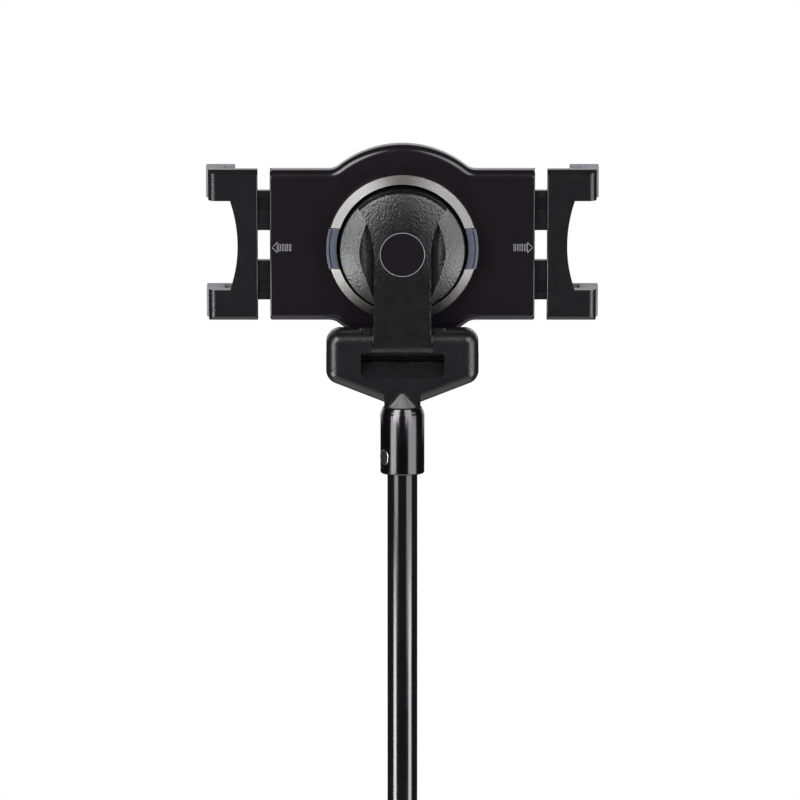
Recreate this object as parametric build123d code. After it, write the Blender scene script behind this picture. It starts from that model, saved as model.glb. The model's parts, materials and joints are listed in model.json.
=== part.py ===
from build123d import *
import os
from math import cos, pi, radians, sin, sqrt, tan

# Adjustable floor stand for a tablet: a folding tripod, a three-stage
# telescoping pole, a tilting neck and a two-jaw tablet holder.
# Lengths are in millimetres and angles in degrees. +Z is up, the floor is
# z = 0 under the pole axis, and the tablet side of the holder faces +Y.

os.makedirs("parts", exist_ok=True)

# General allowances
overrun = 1.0
running_gap = 0.06
seat_gap = 0.3
side_play = 0.3

# Telescoping pole
lower_tube_diameter = 23.0
middle_tube_diameter = 19.0
upper_tube_diameter = 15.0
tube_wall = 1.2
lower_tube_length = 530.0
middle_tube_length = 550.0
upper_tube_length = 590.0
middle_drawn_out = 115.0
upper_drawn_out = 300.0
guide_bush_height = 22.0
guide_bush_lip = 2.0
stage_gap = 2.0
neck_stage_gap = 3.0

# Clamp on top of a tube
clamp_wall = 4.2
clamp_seat_depth = 24.0
clamp_head_height = 18.0
clamp_edge_round = 2.0
liner_height = 14.0
liner_wall = 2.0
liner_slit = 2.0
boss_radius = 8.0
boss_reach = 7.0
boss_above_tube_end = 7.0

# Clamp knob
knob_stem_radius = 3.0
knob_neck_radius = 6.5
knob_neck_length = 4.0
knob_head_radius = 14.0
knob_head_length = 12.0
knob_scallop_radius = 4.0
knob_scallop_circle = 16.2
knob_scallop_count = 6
knob_edge_round = 1.6

# Folding tripod
leg_count = 3
first_leg_azimuth = 90.0
leg_angle = 57.0
leg_length = 320.0
brace_length = 125.0
hinge_circle_radius = 25.0
leg_width = 16.0
leg_depth = 12.0
leg_wall = 1.4
leg_edge_round = 3.0
leg_head_length = 24.0
leg_end_thickness = 6.0
brace_wall = 1.5
brace_depth = 12.0
brace_web_from_hub = 9.5
brace_web_from_leg = 15.0
pin_radius = 2.5
pin_head_radius = 4.2
pin_head_length = 1.2
open_pivot_gap = 0.15
foot_height = 11.0
foot_wall = 2.5
foot_sleeve_length = 34.0
foot_pad_radius = 13.0
foot_pad_height = 8.0
foot_pad_round = 1.5

# Fixed hub at the bottom of the lower tube
hub_wall = 4.5
hub_below_pin = 12.0
hub_above_pin = 20.0
hub_floor = 4.0
hub_edge_round = 2.5
lug_radius = 7.0

# Sliding collar that carries the legs
collar_wall = 5.0
collar_below_pin = 12.0
collar_above_pin = 36.0
collar_boss_above_pin = 24.0
ear_wall = 3.0

# Neck sleeve on top of the pole
sleeve_radius = 11.0
sleeve_length = 33.5
sleeve_shoulder_inset = 1.4
sleeve_shoulder_height = 3.2
sleeve_foot_chamfer = 0.8
neck_radius = 9.3
neck_depth = 27.0
tube_end_below_rim = 1.0
cone_height = 7.2
cone_tip_radius = 0.8
cone_stem_length = 32.0
clamp_screw_below_rim = 25.0
clamp_screw_azimuth = 208.0
clamp_screw_head_radius = 4.3
clamp_screw_head_height = 2.3
clamp_screw_shank_radius = 2.0
clamp_screw_reach = 1.5
clamp_screw_recess_gap = 0.35
clamp_screw_spot_radius = 8.3
drive_slot_width_share = 0.22
drive_slot_length_share = 1.3
drive_slot_depth_share = 0.5

# Shield-shaped hub that carries the tilt axle
shield_half_width = 38.2
shield_near = 2.0
shield_depth = 18.0
shield_split_depth = 11.5
shield_top = 37.8
shield_side_bottom = 12.5
shield_bottom_half_width = 8.6
shield_bottom = 1.0
shield_corner_round = 7.0
shield_near_round = 6.4
shield_far_round = 2.0
slot_half_width = 15.5
window_half_width = 21.0
window_top = 27.2
window_bottom = 14.4
window_corner_round = 2.2
window_back_wall = 3.0
ramp_near_height = 2.0
ramp_far_height = 6.4
ramp_set_back = 3.0
ramp_depth = 4.5
opening_edge_chamfer = 0.4
cone_pocket_gap = 0.5
shield_screw_x = 29.0
shield_screw_z = 17.5
shield_screw_reach = 9.0

# Tilt joint
tilt_rest = 5.5
axis_height = 31.0
axis_depth = 11.0
barrel_radius = 7.5
barrel_half_width = 20.6
barrel_gap = 0.4
axle_radius = 3.0
axle_half_length = 31.0
axle_head_radius = 5.5
axle_head_length = 4.0
axle_recess_gap = 0.3
axle_cap_length = 2.4
washer_radius = 7.0
washer_thickness = 0.8

# Arm and its round head
ring_above_axis = 46.4
axis_before_ring = 6.0
strut_half_width = 14.4
strut_thickness = 9.0
strut_edge_chamfer = 0.6
dome_radius = 31.3
dome_rim_proud = 4.0
dome_sunk = 5.0
dome_rim_round = 0.8
crown_radius = 75.0
crown_start = 4.0
crown_fade = 18.0
crown_rim_round = 3.5
flare_radius = 35.0
lobe_radius = 62.0
lobe_shoulder = 21.5
lobe_groove_floor = 4.4
badge_radius = 11.2
badge_thickness = 1.6
badge_proud = 0.3
badge_gap = 0.05
swivel_boss_radius = 12.0
swivel_bolt_radius = 3.0
swivel_head_radius = 5.6
swivel_head_length = 2.4
swivel_washer_radius = 6.4
swivel_washer_thickness = 0.6
swivel_bolt_reach = 9.0

# Holder body
housing_half_width = 66.4
housing_half_height = 38.5
housing_near = 6.5
housing_far = 15.0
bulge_radius = 51.4
bulge_blend = 8.0
housing_round = 4.0
housing_end_chamfer = 0.7
cover_wall = 2.0
cover_side_wall = 5.0
front_plate_thickness = 1.6
front_plate_chamfer = 0.5
screw_boss_radius = 3.3
screw_boss_x = 53.0
screw_boss_z = 32.0
screw_shank_radius = 1.3
screw_head_radius = 2.6
screw_head_length = 1.0
screw_reach = 5.0
guide_rib_thickness = 1.2
ring_radius = 37.5
ring_band = 4.6
ring_floor = 1.5
ring_slope_depth = 1.8
ring_round = 0.4
tab_half_height = 10.2
tab_proud = 0.8
tab_stand_out = 0.6
tab_gap = 0.25
tab_travel = 1.3
tab_foot_thickness = 2.8
tab_foot_inner = 33.6
tab_foot_half_height = 4.0
tab_foot_reach = 3.6
tab_spring_radius = 1.4
tab_spring_wire = 0.2
tab_spring_turns = 3
spring_rib_thickness = 1.2
spring_length = 2.8

# Sliding grips
grip_inner = 72.6
grip_outer = 98.6
grip_half_height = 38.5
grip_near = 8.0
grip_wall = 5.5
grip_outer_round = 4.0
grip_edge_chamfer = 0.6
grip_end_chamfer = 2.0
lug_inner_height = 22.8
cutout_shoulder = 86.4
cutout_waist = 82.7
tablet_half_width = 89.25
tablet_gap = 7.0
jaw_liner = 3.0
lug_reach = 9.0
hook_lip = 3.5
hook_reach = 5.2
hook_stand_out = 1.2
hook_edge_round = 1.2
pad_thickness = 2.0
pad_base = 1.0
pad_inner = 73.8
pad_outer = 87.0
pad_rib_pitch = 1.46
pad_inset = 0.7
grip_travel_out = 9.75
grip_travel_in = 6.0
rail_near = 9.3
rail_thickness = 3.2
rail_low = 7.7
rail_high = 27.9
rail_full_inner = 56.0
rail_guide_inner = 30.0
rail_guide_low = 13.6
rail_groove_low = 18.2
rail_groove_high = 24.2
rail_groove_depth = 1.0
rail_gap = 0.25
rack_bar_high = 12.7
rack_run_out = 6.25

# Pinion that keeps the grips centred
tooth_module = 1.0
pinion_teeth = 16
pinion_x = 20.0
tooth_backlash = 0.4
addendum_share = 1.0
dedendum_share = 1.25
pressure_angle = 20.0
pinion_axle_radius = 2.0

# Worked out from the sizes above
lower_radius = lower_tube_diameter / 2
middle_radius = middle_tube_diameter / 2
upper_radius = upper_tube_diameter / 2
lower_bore = lower_radius - tube_wall
middle_bore = middle_radius - tube_wall
upper_bore = upper_radius - tube_wall
leg_drop = (leg_length - 2 * brace_length) * cos(radians(leg_angle))
hub_pin_z = leg_drop + foot_height
collar_pin_z = hub_pin_z + 2 * brace_length * cos(radians(leg_angle))
hub_bottom = hub_pin_z - hub_below_pin
hub_top = hub_pin_z + hub_above_pin
lower_tube_bottom = hub_bottom + hub_floor
lower_tube_top = lower_tube_bottom + lower_tube_length
lower_clamp_top = lower_tube_top + clamp_head_height
middle_tube_top = lower_clamp_top + stage_gap + clamp_seat_depth + middle_drawn_out
middle_tube_bottom = middle_tube_top - middle_tube_length
upper_clamp_top = middle_tube_top + clamp_head_height
neck_z = upper_clamp_top + neck_stage_gap + upper_drawn_out + sleeve_length
upper_tube_top = neck_z - tube_end_below_rim
upper_tube_bottom = upper_tube_top - upper_tube_length
hub_radius = lower_radius + hub_wall
collar_radius = lower_radius + collar_wall
leg_slot_half = leg_width / 2 + side_play
brace_outer_half = leg_slot_half + brace_wall
ear_outer_half = leg_slot_half + ear_wall
leg_azimuths = [first_leg_azimuth + 360 * k / leg_count for k in range(leg_count)]
shield_far = shield_near + shield_depth
shield_split = shield_near + shield_split_depth
cavity_half_width = barrel_half_width + washer_thickness
strut_near = -(axis_before_ring + barrel_radius)
strut_far = strut_near + strut_thickness
cover_inner = housing_near + cover_wall
cover_far = housing_far - front_plate_thickness
ring_inner = ring_radius - ring_band
grip_wall_far = grip_near + grip_wall
pad_face = grip_wall_far + pad_thickness
lip_face = pad_face + tablet_gap
hook_far = lip_face + hook_lip
pitch_radius = tooth_module * pinion_teeth / 2
addendum = addendum_share * tooth_module
dedendum = dedendum_share * tooth_module
tooth_pitch = pi * tooth_module
rail_far = rail_near + rail_thickness
tab_floor = housing_near - ring_floor
tab_outer = ring_radius + tab_stand_out


def block(x_low, x_high, y_low, y_high, z_low, z_high):
    centre = Pos((x_low + x_high) / 2, (y_low + y_high) / 2, (z_low + z_high) / 2)
    return centre * Box(x_high - x_low, y_high - y_low, z_high - z_low)


def upright(radius, z_low, z_high):
    return Pos(0, 0, (z_low + z_high) / 2) * Cylinder(radius, z_high - z_low)


def rod_x(radius, x_low, x_high, y=0, z=0):
    lying = Rot(0, 90, 0) * Cylinder(radius, x_high - x_low)
    return Pos((x_low + x_high) / 2, y, z) * lying


def rod_y(radius, y_low, y_high, x=0, z=0):
    lying = Rot(90, 0, 0) * Cylinder(radius, y_high - y_low)
    return Pos(x, (y_low + y_high) / 2, z) * lying


def pipe(outer, inner, z_low, z_high):
    return upright(outer, z_low, z_high) - upright(inner, z_low - overrun, z_high + overrun)


def depth_prism(sketch, y_low, y_high):
    # The sketch's x and y become x and z, and it runs from y_low to y_high.
    return Pos(0, y_high, 0) * Rot(90, 0, 0) * extrude(sketch, y_high - y_low)


def side_prism(sketch, x_low, x_high):
    # The sketch's x and y become y and z, and it runs from x_low to x_high.
    turned = Rot(0, 0, 90) * Rot(90, 0, 0) * extrude(sketch, x_high - x_low)
    return Pos(x_low, 0, 0) * turned


def upright_prism(sketch, z_low, z_high):
    return Pos(0, 0, z_low) * extrude(sketch, z_high - z_low)


def outline(points):
    return make_face(Polyline(*points, close=True))


def round_edges(solid, kind):
    return solid.edges().filter_by(kind)


def cross_drive(radius, depth):
    # A cross recess to cut into a screw head that faces +Z at z = 0.
    half_width = drive_slot_width_share * radius / 2
    half_length = drive_slot_length_share * radius / 2
    slot = block(-half_length, half_length, -half_width, half_width, -depth, overrun)
    return slot + Rot(0, 0, 90) * slot


def save(name, shape):
    shape.label = name
    export_step(shape, os.path.join("parts", name + ".step"))


def clamp_body(tube_radius, slider_radius, tube_top):
    bottom = tube_top - clamp_seat_depth
    top = tube_top + clamp_head_height
    outer = tube_radius + clamp_wall
    boss_z = tube_top + boss_above_tube_end
    body = upright(outer, bottom, top)
    body = fillet(round_edges(body, GeomType.CIRCLE), clamp_edge_round)
    body += rod_y(boss_radius, -(outer + boss_reach), 0, 0, boss_z)
    body -= upright(tube_radius, bottom - overrun, tube_top)
    body -= upright(slider_radius + liner_wall, tube_top, tube_top + liner_height)
    body -= upright(slider_radius + side_play, tube_top, top + overrun)
    body -= rod_y(knob_stem_radius + running_gap, -(outer + boss_reach + overrun), 0, 0, boss_z)
    return body


def clamp_liner(slider_radius, tube_top):
    outer = slider_radius + liner_wall
    boss_z = tube_top + boss_above_tube_end
    liner = pipe(outer, slider_radius + running_gap, tube_top, tube_top + liner_height)
    liner -= rod_y(knob_stem_radius + running_gap, -(outer + overrun), 0, 0, boss_z)
    slit_top = tube_top + liner_height + overrun
    liner -= block(-liner_slit / 2, liner_slit / 2, 0, outer + overrun, tube_top - overrun, slit_top)
    return liner


def clamp_knob(clamp_outer, slider_radius, z):
    seat = clamp_outer + boss_reach + seat_gap
    neck_end = seat + knob_neck_length
    head_end = neck_end + knob_head_length
    head = rod_y(knob_head_radius, -head_end, -neck_end)
    head = fillet(round_edges(head, GeomType.CIRCLE), knob_edge_round)
    for k in range(knob_scallop_count):
        turn = Rot(0, 360 * (k + 0.5) / knob_scallop_count, 0)
        scallop = rod_y(knob_scallop_radius, -head_end - overrun, 0, knob_scallop_circle, 0)
        head -= turn * scallop
    knob = head + rod_y(knob_neck_radius, -neck_end, -seat)
    knob += rod_y(knob_stem_radius, -neck_end, -(slider_radius + seat_gap))
    return Pos(0, 0, z) * knob


def rivet(half_length):
    # A pin along Y with a flat head beyond each end of its grip length.
    grip_end = half_length + running_gap
    end = grip_end + pin_head_length
    pin = rod_y(pin_radius, -grip_end, grip_end)
    for side in (-1, 1):
        inner, outer = sorted((side * grip_end, side * end))
        pin += rod_y(pin_head_radius, inner, outer)
    return pin


def leg_blank():
    # The leg's outside, hanging straight down from its top pin.
    section = RectangleRounded(leg_depth, leg_width, leg_edge_round)
    blank = upright_prism(section, -leg_length, 0)
    return blank + rod_y(leg_depth / 2, -leg_width / 2, leg_width / 2)


def leg():
    body = leg_blank()
    inside = RectangleRounded(
        leg_depth - 2 * leg_wall, leg_width - 2 * leg_wall, leg_edge_round - leg_wall
    )
    body -= upright_prism(inside, -leg_length + leg_end_thickness, -leg_head_length)
    body -= rod_y(pin_radius + open_pivot_gap, -leg_width, leg_width)
    body -= rod_y(pin_radius, -leg_width, leg_width, 0, -brace_length)
    return body


def leg_place():
    tilt = Rot(0, -leg_angle, 0)
    return Pos(hinge_circle_radius, 0, collar_pin_z) * tilt


def foot():
    half_depth = leg_depth / 2 + foot_wall
    half_width = leg_width / 2 + foot_wall
    sleeve_bottom = -(leg_length + foot_wall)
    sleeve_top = sleeve_bottom + foot_sleeve_length
    boot = block(-half_depth, half_depth, -half_width, half_width, sleeve_bottom, sleeve_top)
    boot = fillet(boot.edges(), foot_wall / 2)
    boot = leg_place() * boot
    pad = upright(foot_pad_radius, 0, foot_pad_height)
    pad = fillet(pad.edges().group_by(Axis.Z)[0], foot_pad_round)
    pad = fillet(pad.edges().group_by(Axis.Z)[-1], foot_pad_round)
    foot_point = hinge_circle_radius + leg_length * sin(radians(leg_angle))
    return boot + Pos(foot_point, 0, 0) * pad - leg_place() * leg_blank()


def brace():
    # Two cheeks beside the leg, joined by a web on the side of the pole.
    half = brace_depth / 2
    cheek = block(-half, half, leg_slot_half, brace_outer_half, 0, brace_length)
    for end in (0, brace_length):
        cheek += rod_y(half, leg_slot_half, brace_outer_half, 0, end)
    for end in (0, brace_length):
        cheek -= rod_y(pin_radius + running_gap, 0, brace_outer_half + overrun, 0, end)
    web_top = brace_length - brace_web_from_leg
    web = block(-half, brace_wall - half, -leg_slot_half, leg_slot_half, brace_web_from_hub, web_top)
    return cheek + mirror(cheek, Plane.XZ) + web


def brace_place():
    return Pos(hinge_circle_radius, 0, hub_pin_z) * Rot(0, leg_angle, 0)


def base_hub():
    hub = upright(hub_radius, hub_bottom, hub_top)
    hub = fillet(round_edges(hub, GeomType.CIRCLE), hub_edge_round)
    half_width = leg_width / 2
    low = hub_pin_z - lug_radius
    high = hub_pin_z + lug_radius
    lug = block(0, hinge_circle_radius, -half_width, half_width, low, high)
    lug += rod_y(lug_radius, -half_width, half_width, hinge_circle_radius, hub_pin_z)
    hole = rod_y(pin_radius, -leg_width, leg_width, hinge_circle_radius, hub_pin_z)
    for azimuth in leg_azimuths:
        hub += Rot(0, 0, azimuth) * (lug - hole)
    return hub - upright(lower_radius, lower_tube_bottom, hub_top + overrun)


def leg_collar():
    bottom = collar_pin_z - collar_below_pin
    top = collar_pin_z + collar_above_pin
    boss_z = collar_pin_z + collar_boss_above_pin
    boss_end = collar_radius + boss_reach
    collar = upright(collar_radius, bottom, top)
    collar = fillet(round_edges(collar, GeomType.CIRCLE), clamp_edge_round)
    collar += rod_y(boss_radius, -boss_end, 0, 0, boss_z)
    low = collar_pin_z - lug_radius
    high = collar_pin_z + lug_radius
    ear = block(0, hinge_circle_radius, leg_slot_half, ear_outer_half, low, high)
    ear += rod_y(lug_radius, leg_slot_half, ear_outer_half, hinge_circle_radius, collar_pin_z)
    ear -= rod_y(pin_radius, 0, ear_outer_half + overrun, hinge_circle_radius, collar_pin_z)
    for azimuth in leg_azimuths:
        collar += Rot(0, 0, azimuth) * ear
        collar += Rot(0, 0, azimuth) * mirror(ear, Plane.XZ)
    collar -= upright(lower_radius + running_gap, bottom - overrun, top + overrun)
    return collar - rod_y(knob_stem_radius + running_gap, -(boss_end + overrun), 0, 0, boss_z)


def make_tripod():
    save("base_hub", base_hub())
    save("leg_collar", leg_collar())
    collar_boss_z = collar_pin_z + collar_boss_above_pin
    save("leg_collar_knob", clamp_knob(collar_radius, lower_radius, collar_boss_z))
    hub_pins = Part()
    collar_pins = Part()
    for azimuth in leg_azimuths:
        turn = Rot(0, 0, azimuth)
        hub_pins += turn * Pos(hinge_circle_radius, 0, hub_pin_z) * rivet(brace_outer_half)
        collar_pins += turn * Pos(hinge_circle_radius, 0, collar_pin_z) * rivet(ear_outer_half)
    save("hub_pins", hub_pins)
    save("collar_pins", collar_pins)
    for number, azimuth in enumerate(leg_azimuths, 1):
        turn = Rot(0, 0, azimuth)
        middle_pin = leg_place() * Pos(0, 0, -brace_length) * rivet(brace_outer_half)
        save(f"leg_{number}", turn * leg_place() * leg())
        save(f"foot_{number}", turn * foot())
        save(f"brace_{number}", turn * brace_place() * brace())
        save(f"brace_pin_{number}", turn * middle_pin)


def make_pole():
    save("lower_tube", pipe(lower_radius, lower_bore, lower_tube_bottom, lower_tube_top))
    save("lower_clamp", clamp_body(lower_radius, middle_radius, lower_tube_top))
    save("lower_clamp_liner", clamp_liner(middle_radius, lower_tube_top))
    lower_knob_z = lower_tube_top + boss_above_tube_end
    save("lower_clamp_knob", clamp_knob(lower_radius + clamp_wall, middle_radius, lower_knob_z))

    save("middle_tube", pipe(middle_radius, middle_bore, middle_tube_bottom, middle_tube_top))
    bush_bottom = middle_tube_bottom - guide_bush_lip
    bush_top = bush_bottom + guide_bush_height
    middle_bush = pipe(lower_bore - running_gap, middle_bore, bush_bottom, bush_top)
    save("middle_bush", middle_bush - upright(middle_radius, middle_tube_bottom, bush_top + overrun))
    save("upper_clamp", clamp_body(middle_radius, upper_radius, middle_tube_top))
    save("upper_clamp_liner", clamp_liner(upper_radius, middle_tube_top))
    upper_knob_z = middle_tube_top + boss_above_tube_end
    save("upper_clamp_knob", clamp_knob(middle_radius + clamp_wall, upper_radius, upper_knob_z))

    tube = pipe(upper_radius, upper_bore, upper_tube_bottom, upper_tube_top)
    save("upper_tube", tube - clamp_screw_hole(clamp_screw_shank_radius + running_gap))
    cup_bottom = upper_tube_bottom - guide_bush_lip
    cup = upright(middle_bore - running_gap, cup_bottom, cup_bottom + guide_bush_height)
    cup -= upright(upper_radius + running_gap, upper_tube_bottom, upper_tube_top)
    save("upper_bush", cup)


def clamp_screw_hole(radius):
    hole = rod_x(radius, 0, sleeve_radius + overrun, 0, -clamp_screw_below_rim)
    return Pos(0, 0, neck_z) * Rot(0, 0, clamp_screw_azimuth) * hole


def clamp_screw():
    head_face = clamp_screw_spot_radius + clamp_screw_head_height
    shank = upper_bore - clamp_screw_reach
    screw = rod_x(clamp_screw_shank_radius, shank, clamp_screw_spot_radius)
    screw += rod_x(clamp_screw_head_radius, clamp_screw_spot_radius, head_face)
    rim = screw.edges().group_by(Axis.X)[-1]
    screw = fillet(rim, clamp_screw_head_height / 3)
    drive = cross_drive(clamp_screw_head_radius, drive_slot_depth_share * clamp_screw_head_height)
    screw -= Pos(head_face, 0, 0) * Rot(0, 90, 0) * drive
    drop = Pos(0, 0, neck_z - clamp_screw_below_rim)
    return drop * Rot(0, 0, clamp_screw_azimuth) * screw


def neck_sleeve():
    sleeve = upright(sleeve_radius, -sleeve_length, 0)
    sleeve = chamfer(sleeve.edges().group_by(Axis.Z)[0], sleeve_foot_chamfer)
    top_radius = sleeve_radius - sleeve_shoulder_inset
    shoulder = Cone(sleeve_radius, top_radius, sleeve_shoulder_height)
    sleeve &= upright(sleeve_radius, -sleeve_length, -sleeve_shoulder_height) + (
        Pos(0, 0, -sleeve_shoulder_height / 2) * shoulder
    )
    sleeve -= upright(upper_radius, -sleeve_length - overrun, 0)
    sleeve -= upright(neck_radius, -neck_depth, overrun)
    recess = clamp_screw_head_radius + clamp_screw_recess_gap
    return Pos(0, 0, neck_z) * sleeve - clamp_screw_hole(recess)


def cone_plug():
    base = -tube_end_below_rim
    tip = Cone(upper_radius, cone_tip_radius, cone_height)
    plug = Pos(0, 0, base + cone_height / 2) * tip
    plug += upright(upper_bore, base - cone_stem_length, base)
    plug = Pos(0, 0, neck_z) * plug
    return plug - clamp_screw_hole(clamp_screw_shank_radius + running_gap)


def shield_outline():
    points = [
        (-shield_half_width, shield_top),
        (shield_half_width, shield_top),
        (shield_half_width, shield_side_bottom),
        (shield_bottom_half_width, shield_bottom),
        (-shield_bottom_half_width, shield_bottom),
        (-shield_half_width, shield_side_bottom),
    ]
    face = outline(points)
    return fillet(face.vertices(), shield_corner_round)


def window_cut():
    # The opening below the strut, with a sloped ramp as its floor.
    half = window_half_width
    front = RectangleRounded(
        2 * half, window_top - window_bottom + window_corner_round, window_corner_round
    )
    middle = (window_top + window_corner_round + window_bottom) / 2
    front = Pos(0, middle) * front
    front -= Pos(0, window_top + window_corner_round) * Rectangle(2 * half, 2 * window_corner_round)
    back = shield_far - window_back_wall
    step = shield_near + ramp_set_back
    points = [
        (shield_near - overrun, window_bottom - overrun),
        (step, window_bottom - overrun),
        (step, window_bottom + ramp_near_height),
        (step + ramp_depth, window_bottom + ramp_far_height),
        (back, window_bottom + ramp_far_height),
        (back, window_top),
        (shield_near - overrun, window_top),
    ]
    deep = side_prism(outline(points), -half - overrun, half + overrun)
    return depth_prism(front, shield_near - overrun, shield_far) & deep


def shield_blank():
    body = depth_prism(shield_outline(), shield_near, shield_far)
    body = fillet(body.faces().sort_by(Axis.Y)[0].edges(), shield_near_round)
    return fillet(body.faces().sort_by(Axis.Y)[-1].edges(), shield_far_round)


def shield_cuts():
    slot_floor = axis_height - barrel_radius - barrel_gap
    slot = block(
        -slot_half_width, slot_half_width, 0, shield_far + overrun, slot_floor, shield_top + overrun
    )
    cavity = rod_x(barrel_radius + barrel_gap, -cavity_half_width, cavity_half_width, axis_depth, axis_height)
    bore = rod_x(axle_radius, -shield_half_width, shield_half_width, axis_depth, axis_height)
    cuts = slot + cavity + bore + window_cut()
    recess = axle_head_radius + axle_recess_gap
    for side in (-1, 1):
        inner, outer = sorted((side * axle_half_length, side * (shield_half_width + overrun)))
        cuts += rod_x(recess, inner, outer, axis_depth, axis_height)
    for side in (-1, 1):
        spot = (side * shield_screw_x, shield_screw_z)
        start = shield_far - screw_head_length
        cuts += rod_y(screw_head_radius, start, shield_far + overrun, *spot)
        cuts += rod_y(screw_shank_radius, start - shield_screw_reach, shield_far, *spot)
    return cuts


def neck_stem():
    # The stem inside the sleeve, with the pole's end and its cone in its bore.
    stem = upright(neck_radius, -neck_depth, shield_bottom)
    rear = upright(neck_radius, shield_bottom - overrun, axis_height / 3)
    rear &= block(-neck_radius, neck_radius, shield_near, neck_radius, 0, axis_height)
    return stem + rear


def cone_pocket():
    base = -tube_end_below_rim
    widest = upper_radius + cone_pocket_gap
    height = cone_height + 2 * cone_pocket_gap
    pocket = Pos(0, 0, base + height / 2) * Cone(widest, cone_tip_radius, height)
    return pocket + upright(upper_radius, -neck_depth - overrun, base)


def shield_parts():
    body = shield_blank() - shield_cuts()
    rear_half = block(
        -shield_half_width, shield_half_width, shield_split, shield_far, shield_bottom, shield_top
    )
    rear = body & rear_half
    front = body - rear_half + neck_stem() - cone_pocket()
    open_near = block(-sleeve_radius, sleeve_radius, -sleeve_radius, shield_near, 0, shield_top)
    front -= open_near & upright(neck_radius + overrun, 0, shield_bottom + overrun)
    rod = rod_x(
        clamp_screw_head_radius + clamp_screw_recess_gap,
        clamp_screw_spot_radius,
        sleeve_radius,
        0,
        -clamp_screw_below_rim,
    )
    front -= Rot(0, 0, clamp_screw_azimuth) * rod
    opening_edges = [
        edge for edge in front.edges()
        if abs(edge.center().Y - shield_near) < running_gap
        and abs(edge.center().X) < window_half_width + running_gap
        and edge.center().Z > window_bottom - running_gap
    ]
    front = chamfer(opening_edges, opening_edge_chamfer)
    front = Pos(0, 0, neck_z) * front
    front -= clamp_screw_hole(clamp_screw_shank_radius + running_gap)
    return front, Pos(0, 0, neck_z) * rear


def plate_screw(reach):
    # A countersunk-flush screw along Y whose head faces +Y at y = 0.
    head = rod_y(screw_head_radius, -screw_head_length, 0)
    shank = rod_y(screw_shank_radius, -screw_head_length - reach, -screw_head_length)
    drive = cross_drive(screw_head_radius, drive_slot_depth_share * screw_head_length)
    return head + shank - Rot(-90, 0, 0) * drive


def make_neck():
    save("neck_sleeve", neck_sleeve())
    save("pole_cone_plug", cone_plug())
    save("sleeve_screw", clamp_screw())
    front, rear = shield_parts()
    save("shield_hub", front)
    save("shield_cover", rear)
    screws = Part()
    for side in (-1, 1):
        place = Pos(side * shield_screw_x, shield_far, neck_z + shield_screw_z)
        screws += place * plate_screw(shield_screw_reach - overrun)
    save("shield_screws", screws)

    place = Pos(0, axis_depth, neck_z + axis_height)
    head_end = axle_half_length + axle_head_length
    axle = rod_x(axle_radius, -head_end, axle_half_length)
    axle += rod_x(axle_head_radius, axle_half_length, head_end)
    save("tilt_axle", place * axle)
    nut = Rot(0, -90, 0) * extrude(RegularPolygon(axle_head_radius, 6), axle_head_length)
    nut = Pos(-axle_half_length, 0, 0) * nut
    save("tilt_nut", place * (nut - rod_x(axle_radius, -head_end - overrun, 0)))
    caps = Part()
    washers = Part()
    washer = rod_x(washer_radius, barrel_half_width, cavity_half_width)
    washer -= rod_x(axle_radius + running_gap, 0, cavity_half_width + overrun)
    cap_inner = head_end + seat_gap
    cap = rod_x(axle_head_radius + axle_recess_gap, cap_inner, cap_inner + axle_cap_length)
    for turn in (Rot(0, 0, 0), Rot(0, 0, 180)):
        washers += turn * washer
        caps += turn * cap
    save("friction_washers", place * washers)
    save("axle_caps", (place * caps) & (Pos(0, 0, neck_z) * shield_blank()))


def spine_outline():
    # The raised middle of the round head, flaring out to its top rim.
    flare_x = strut_half_width + flare_radius
    face = Pos(0, dome_radius / 2) * Rectangle(2 * dome_radius, dome_radius)
    for side in (-1, 1):
        face -= Pos(side * flare_x, 0) * Circle(flare_radius)
    return face & Circle(dome_radius)


def crowned_head():
    # The spine above the badge's middle: a ball's surface, rounded at the rim.
    ball = Pos(0, strut_near + crown_radius, crown_start) * Sphere(crown_radius)
    head = depth_prism(spine_outline(), strut_near, 0) & ball
    rim = [
        edge for edge in head.edges()
        if edge.center().Z > crown_start and edge.center().Y < -dome_rim_proud
        and abs(edge.center().X) < strut_half_width
    ]
    return fillet(rim, crown_rim_round)


def easing_neck():
    # Between the crowned head and the flat strut.
    sag = crown_radius - sqrt(crown_radius**2 - strut_half_width**2)
    half = strut_half_width
    side = strut_near + sag
    arc = ThreePointArc((-half, side), (0, strut_near), (half, side))
    round_end = make_face(arc + Polyline((half, side), (half, 0), (-half, 0), (-half, side)))
    flat_end = outline([(-half, strut_near), (half, strut_near), (half, 0), (-half, 0)])
    neck = loft([Pos(0, 0, -crown_fade) * flat_end, round_end], ruled=True)
    long_edges = [
        edge for edge in neck.edges()
        if edge.center().Y < strut_far and abs(edge.center().X) > half - running_gap
    ]
    return chamfer(long_edges, strut_edge_chamfer)


def lobe_scoop():
    # The groove beside the strut, seen from above, for the +X side.
    crest = -lobe_height(lobe_shoulder)
    rim = (lobe_shoulder, crest)
    foot_of_scoop = (strut_half_width - overrun, -lobe_groove_floor)
    bend = TangentArc(rim, foot_of_scoop, tangent=(-1, 0))
    corner = (strut_half_width - overrun, strut_near)
    above_rim = (lobe_shoulder, strut_near)
    edges = Polyline(foot_of_scoop, corner, above_rim, rim)
    return upright_prism(make_face(bend + edges), -dome_radius, dome_radius)


def lobe_height(distance):
    # How far the lobes' ball stands in front of the ring at a distance from its axis.
    at_rim = sqrt(lobe_radius**2 - dome_radius**2)
    return dome_rim_proud + sqrt(lobe_radius**2 - distance**2) - at_rim


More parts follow.
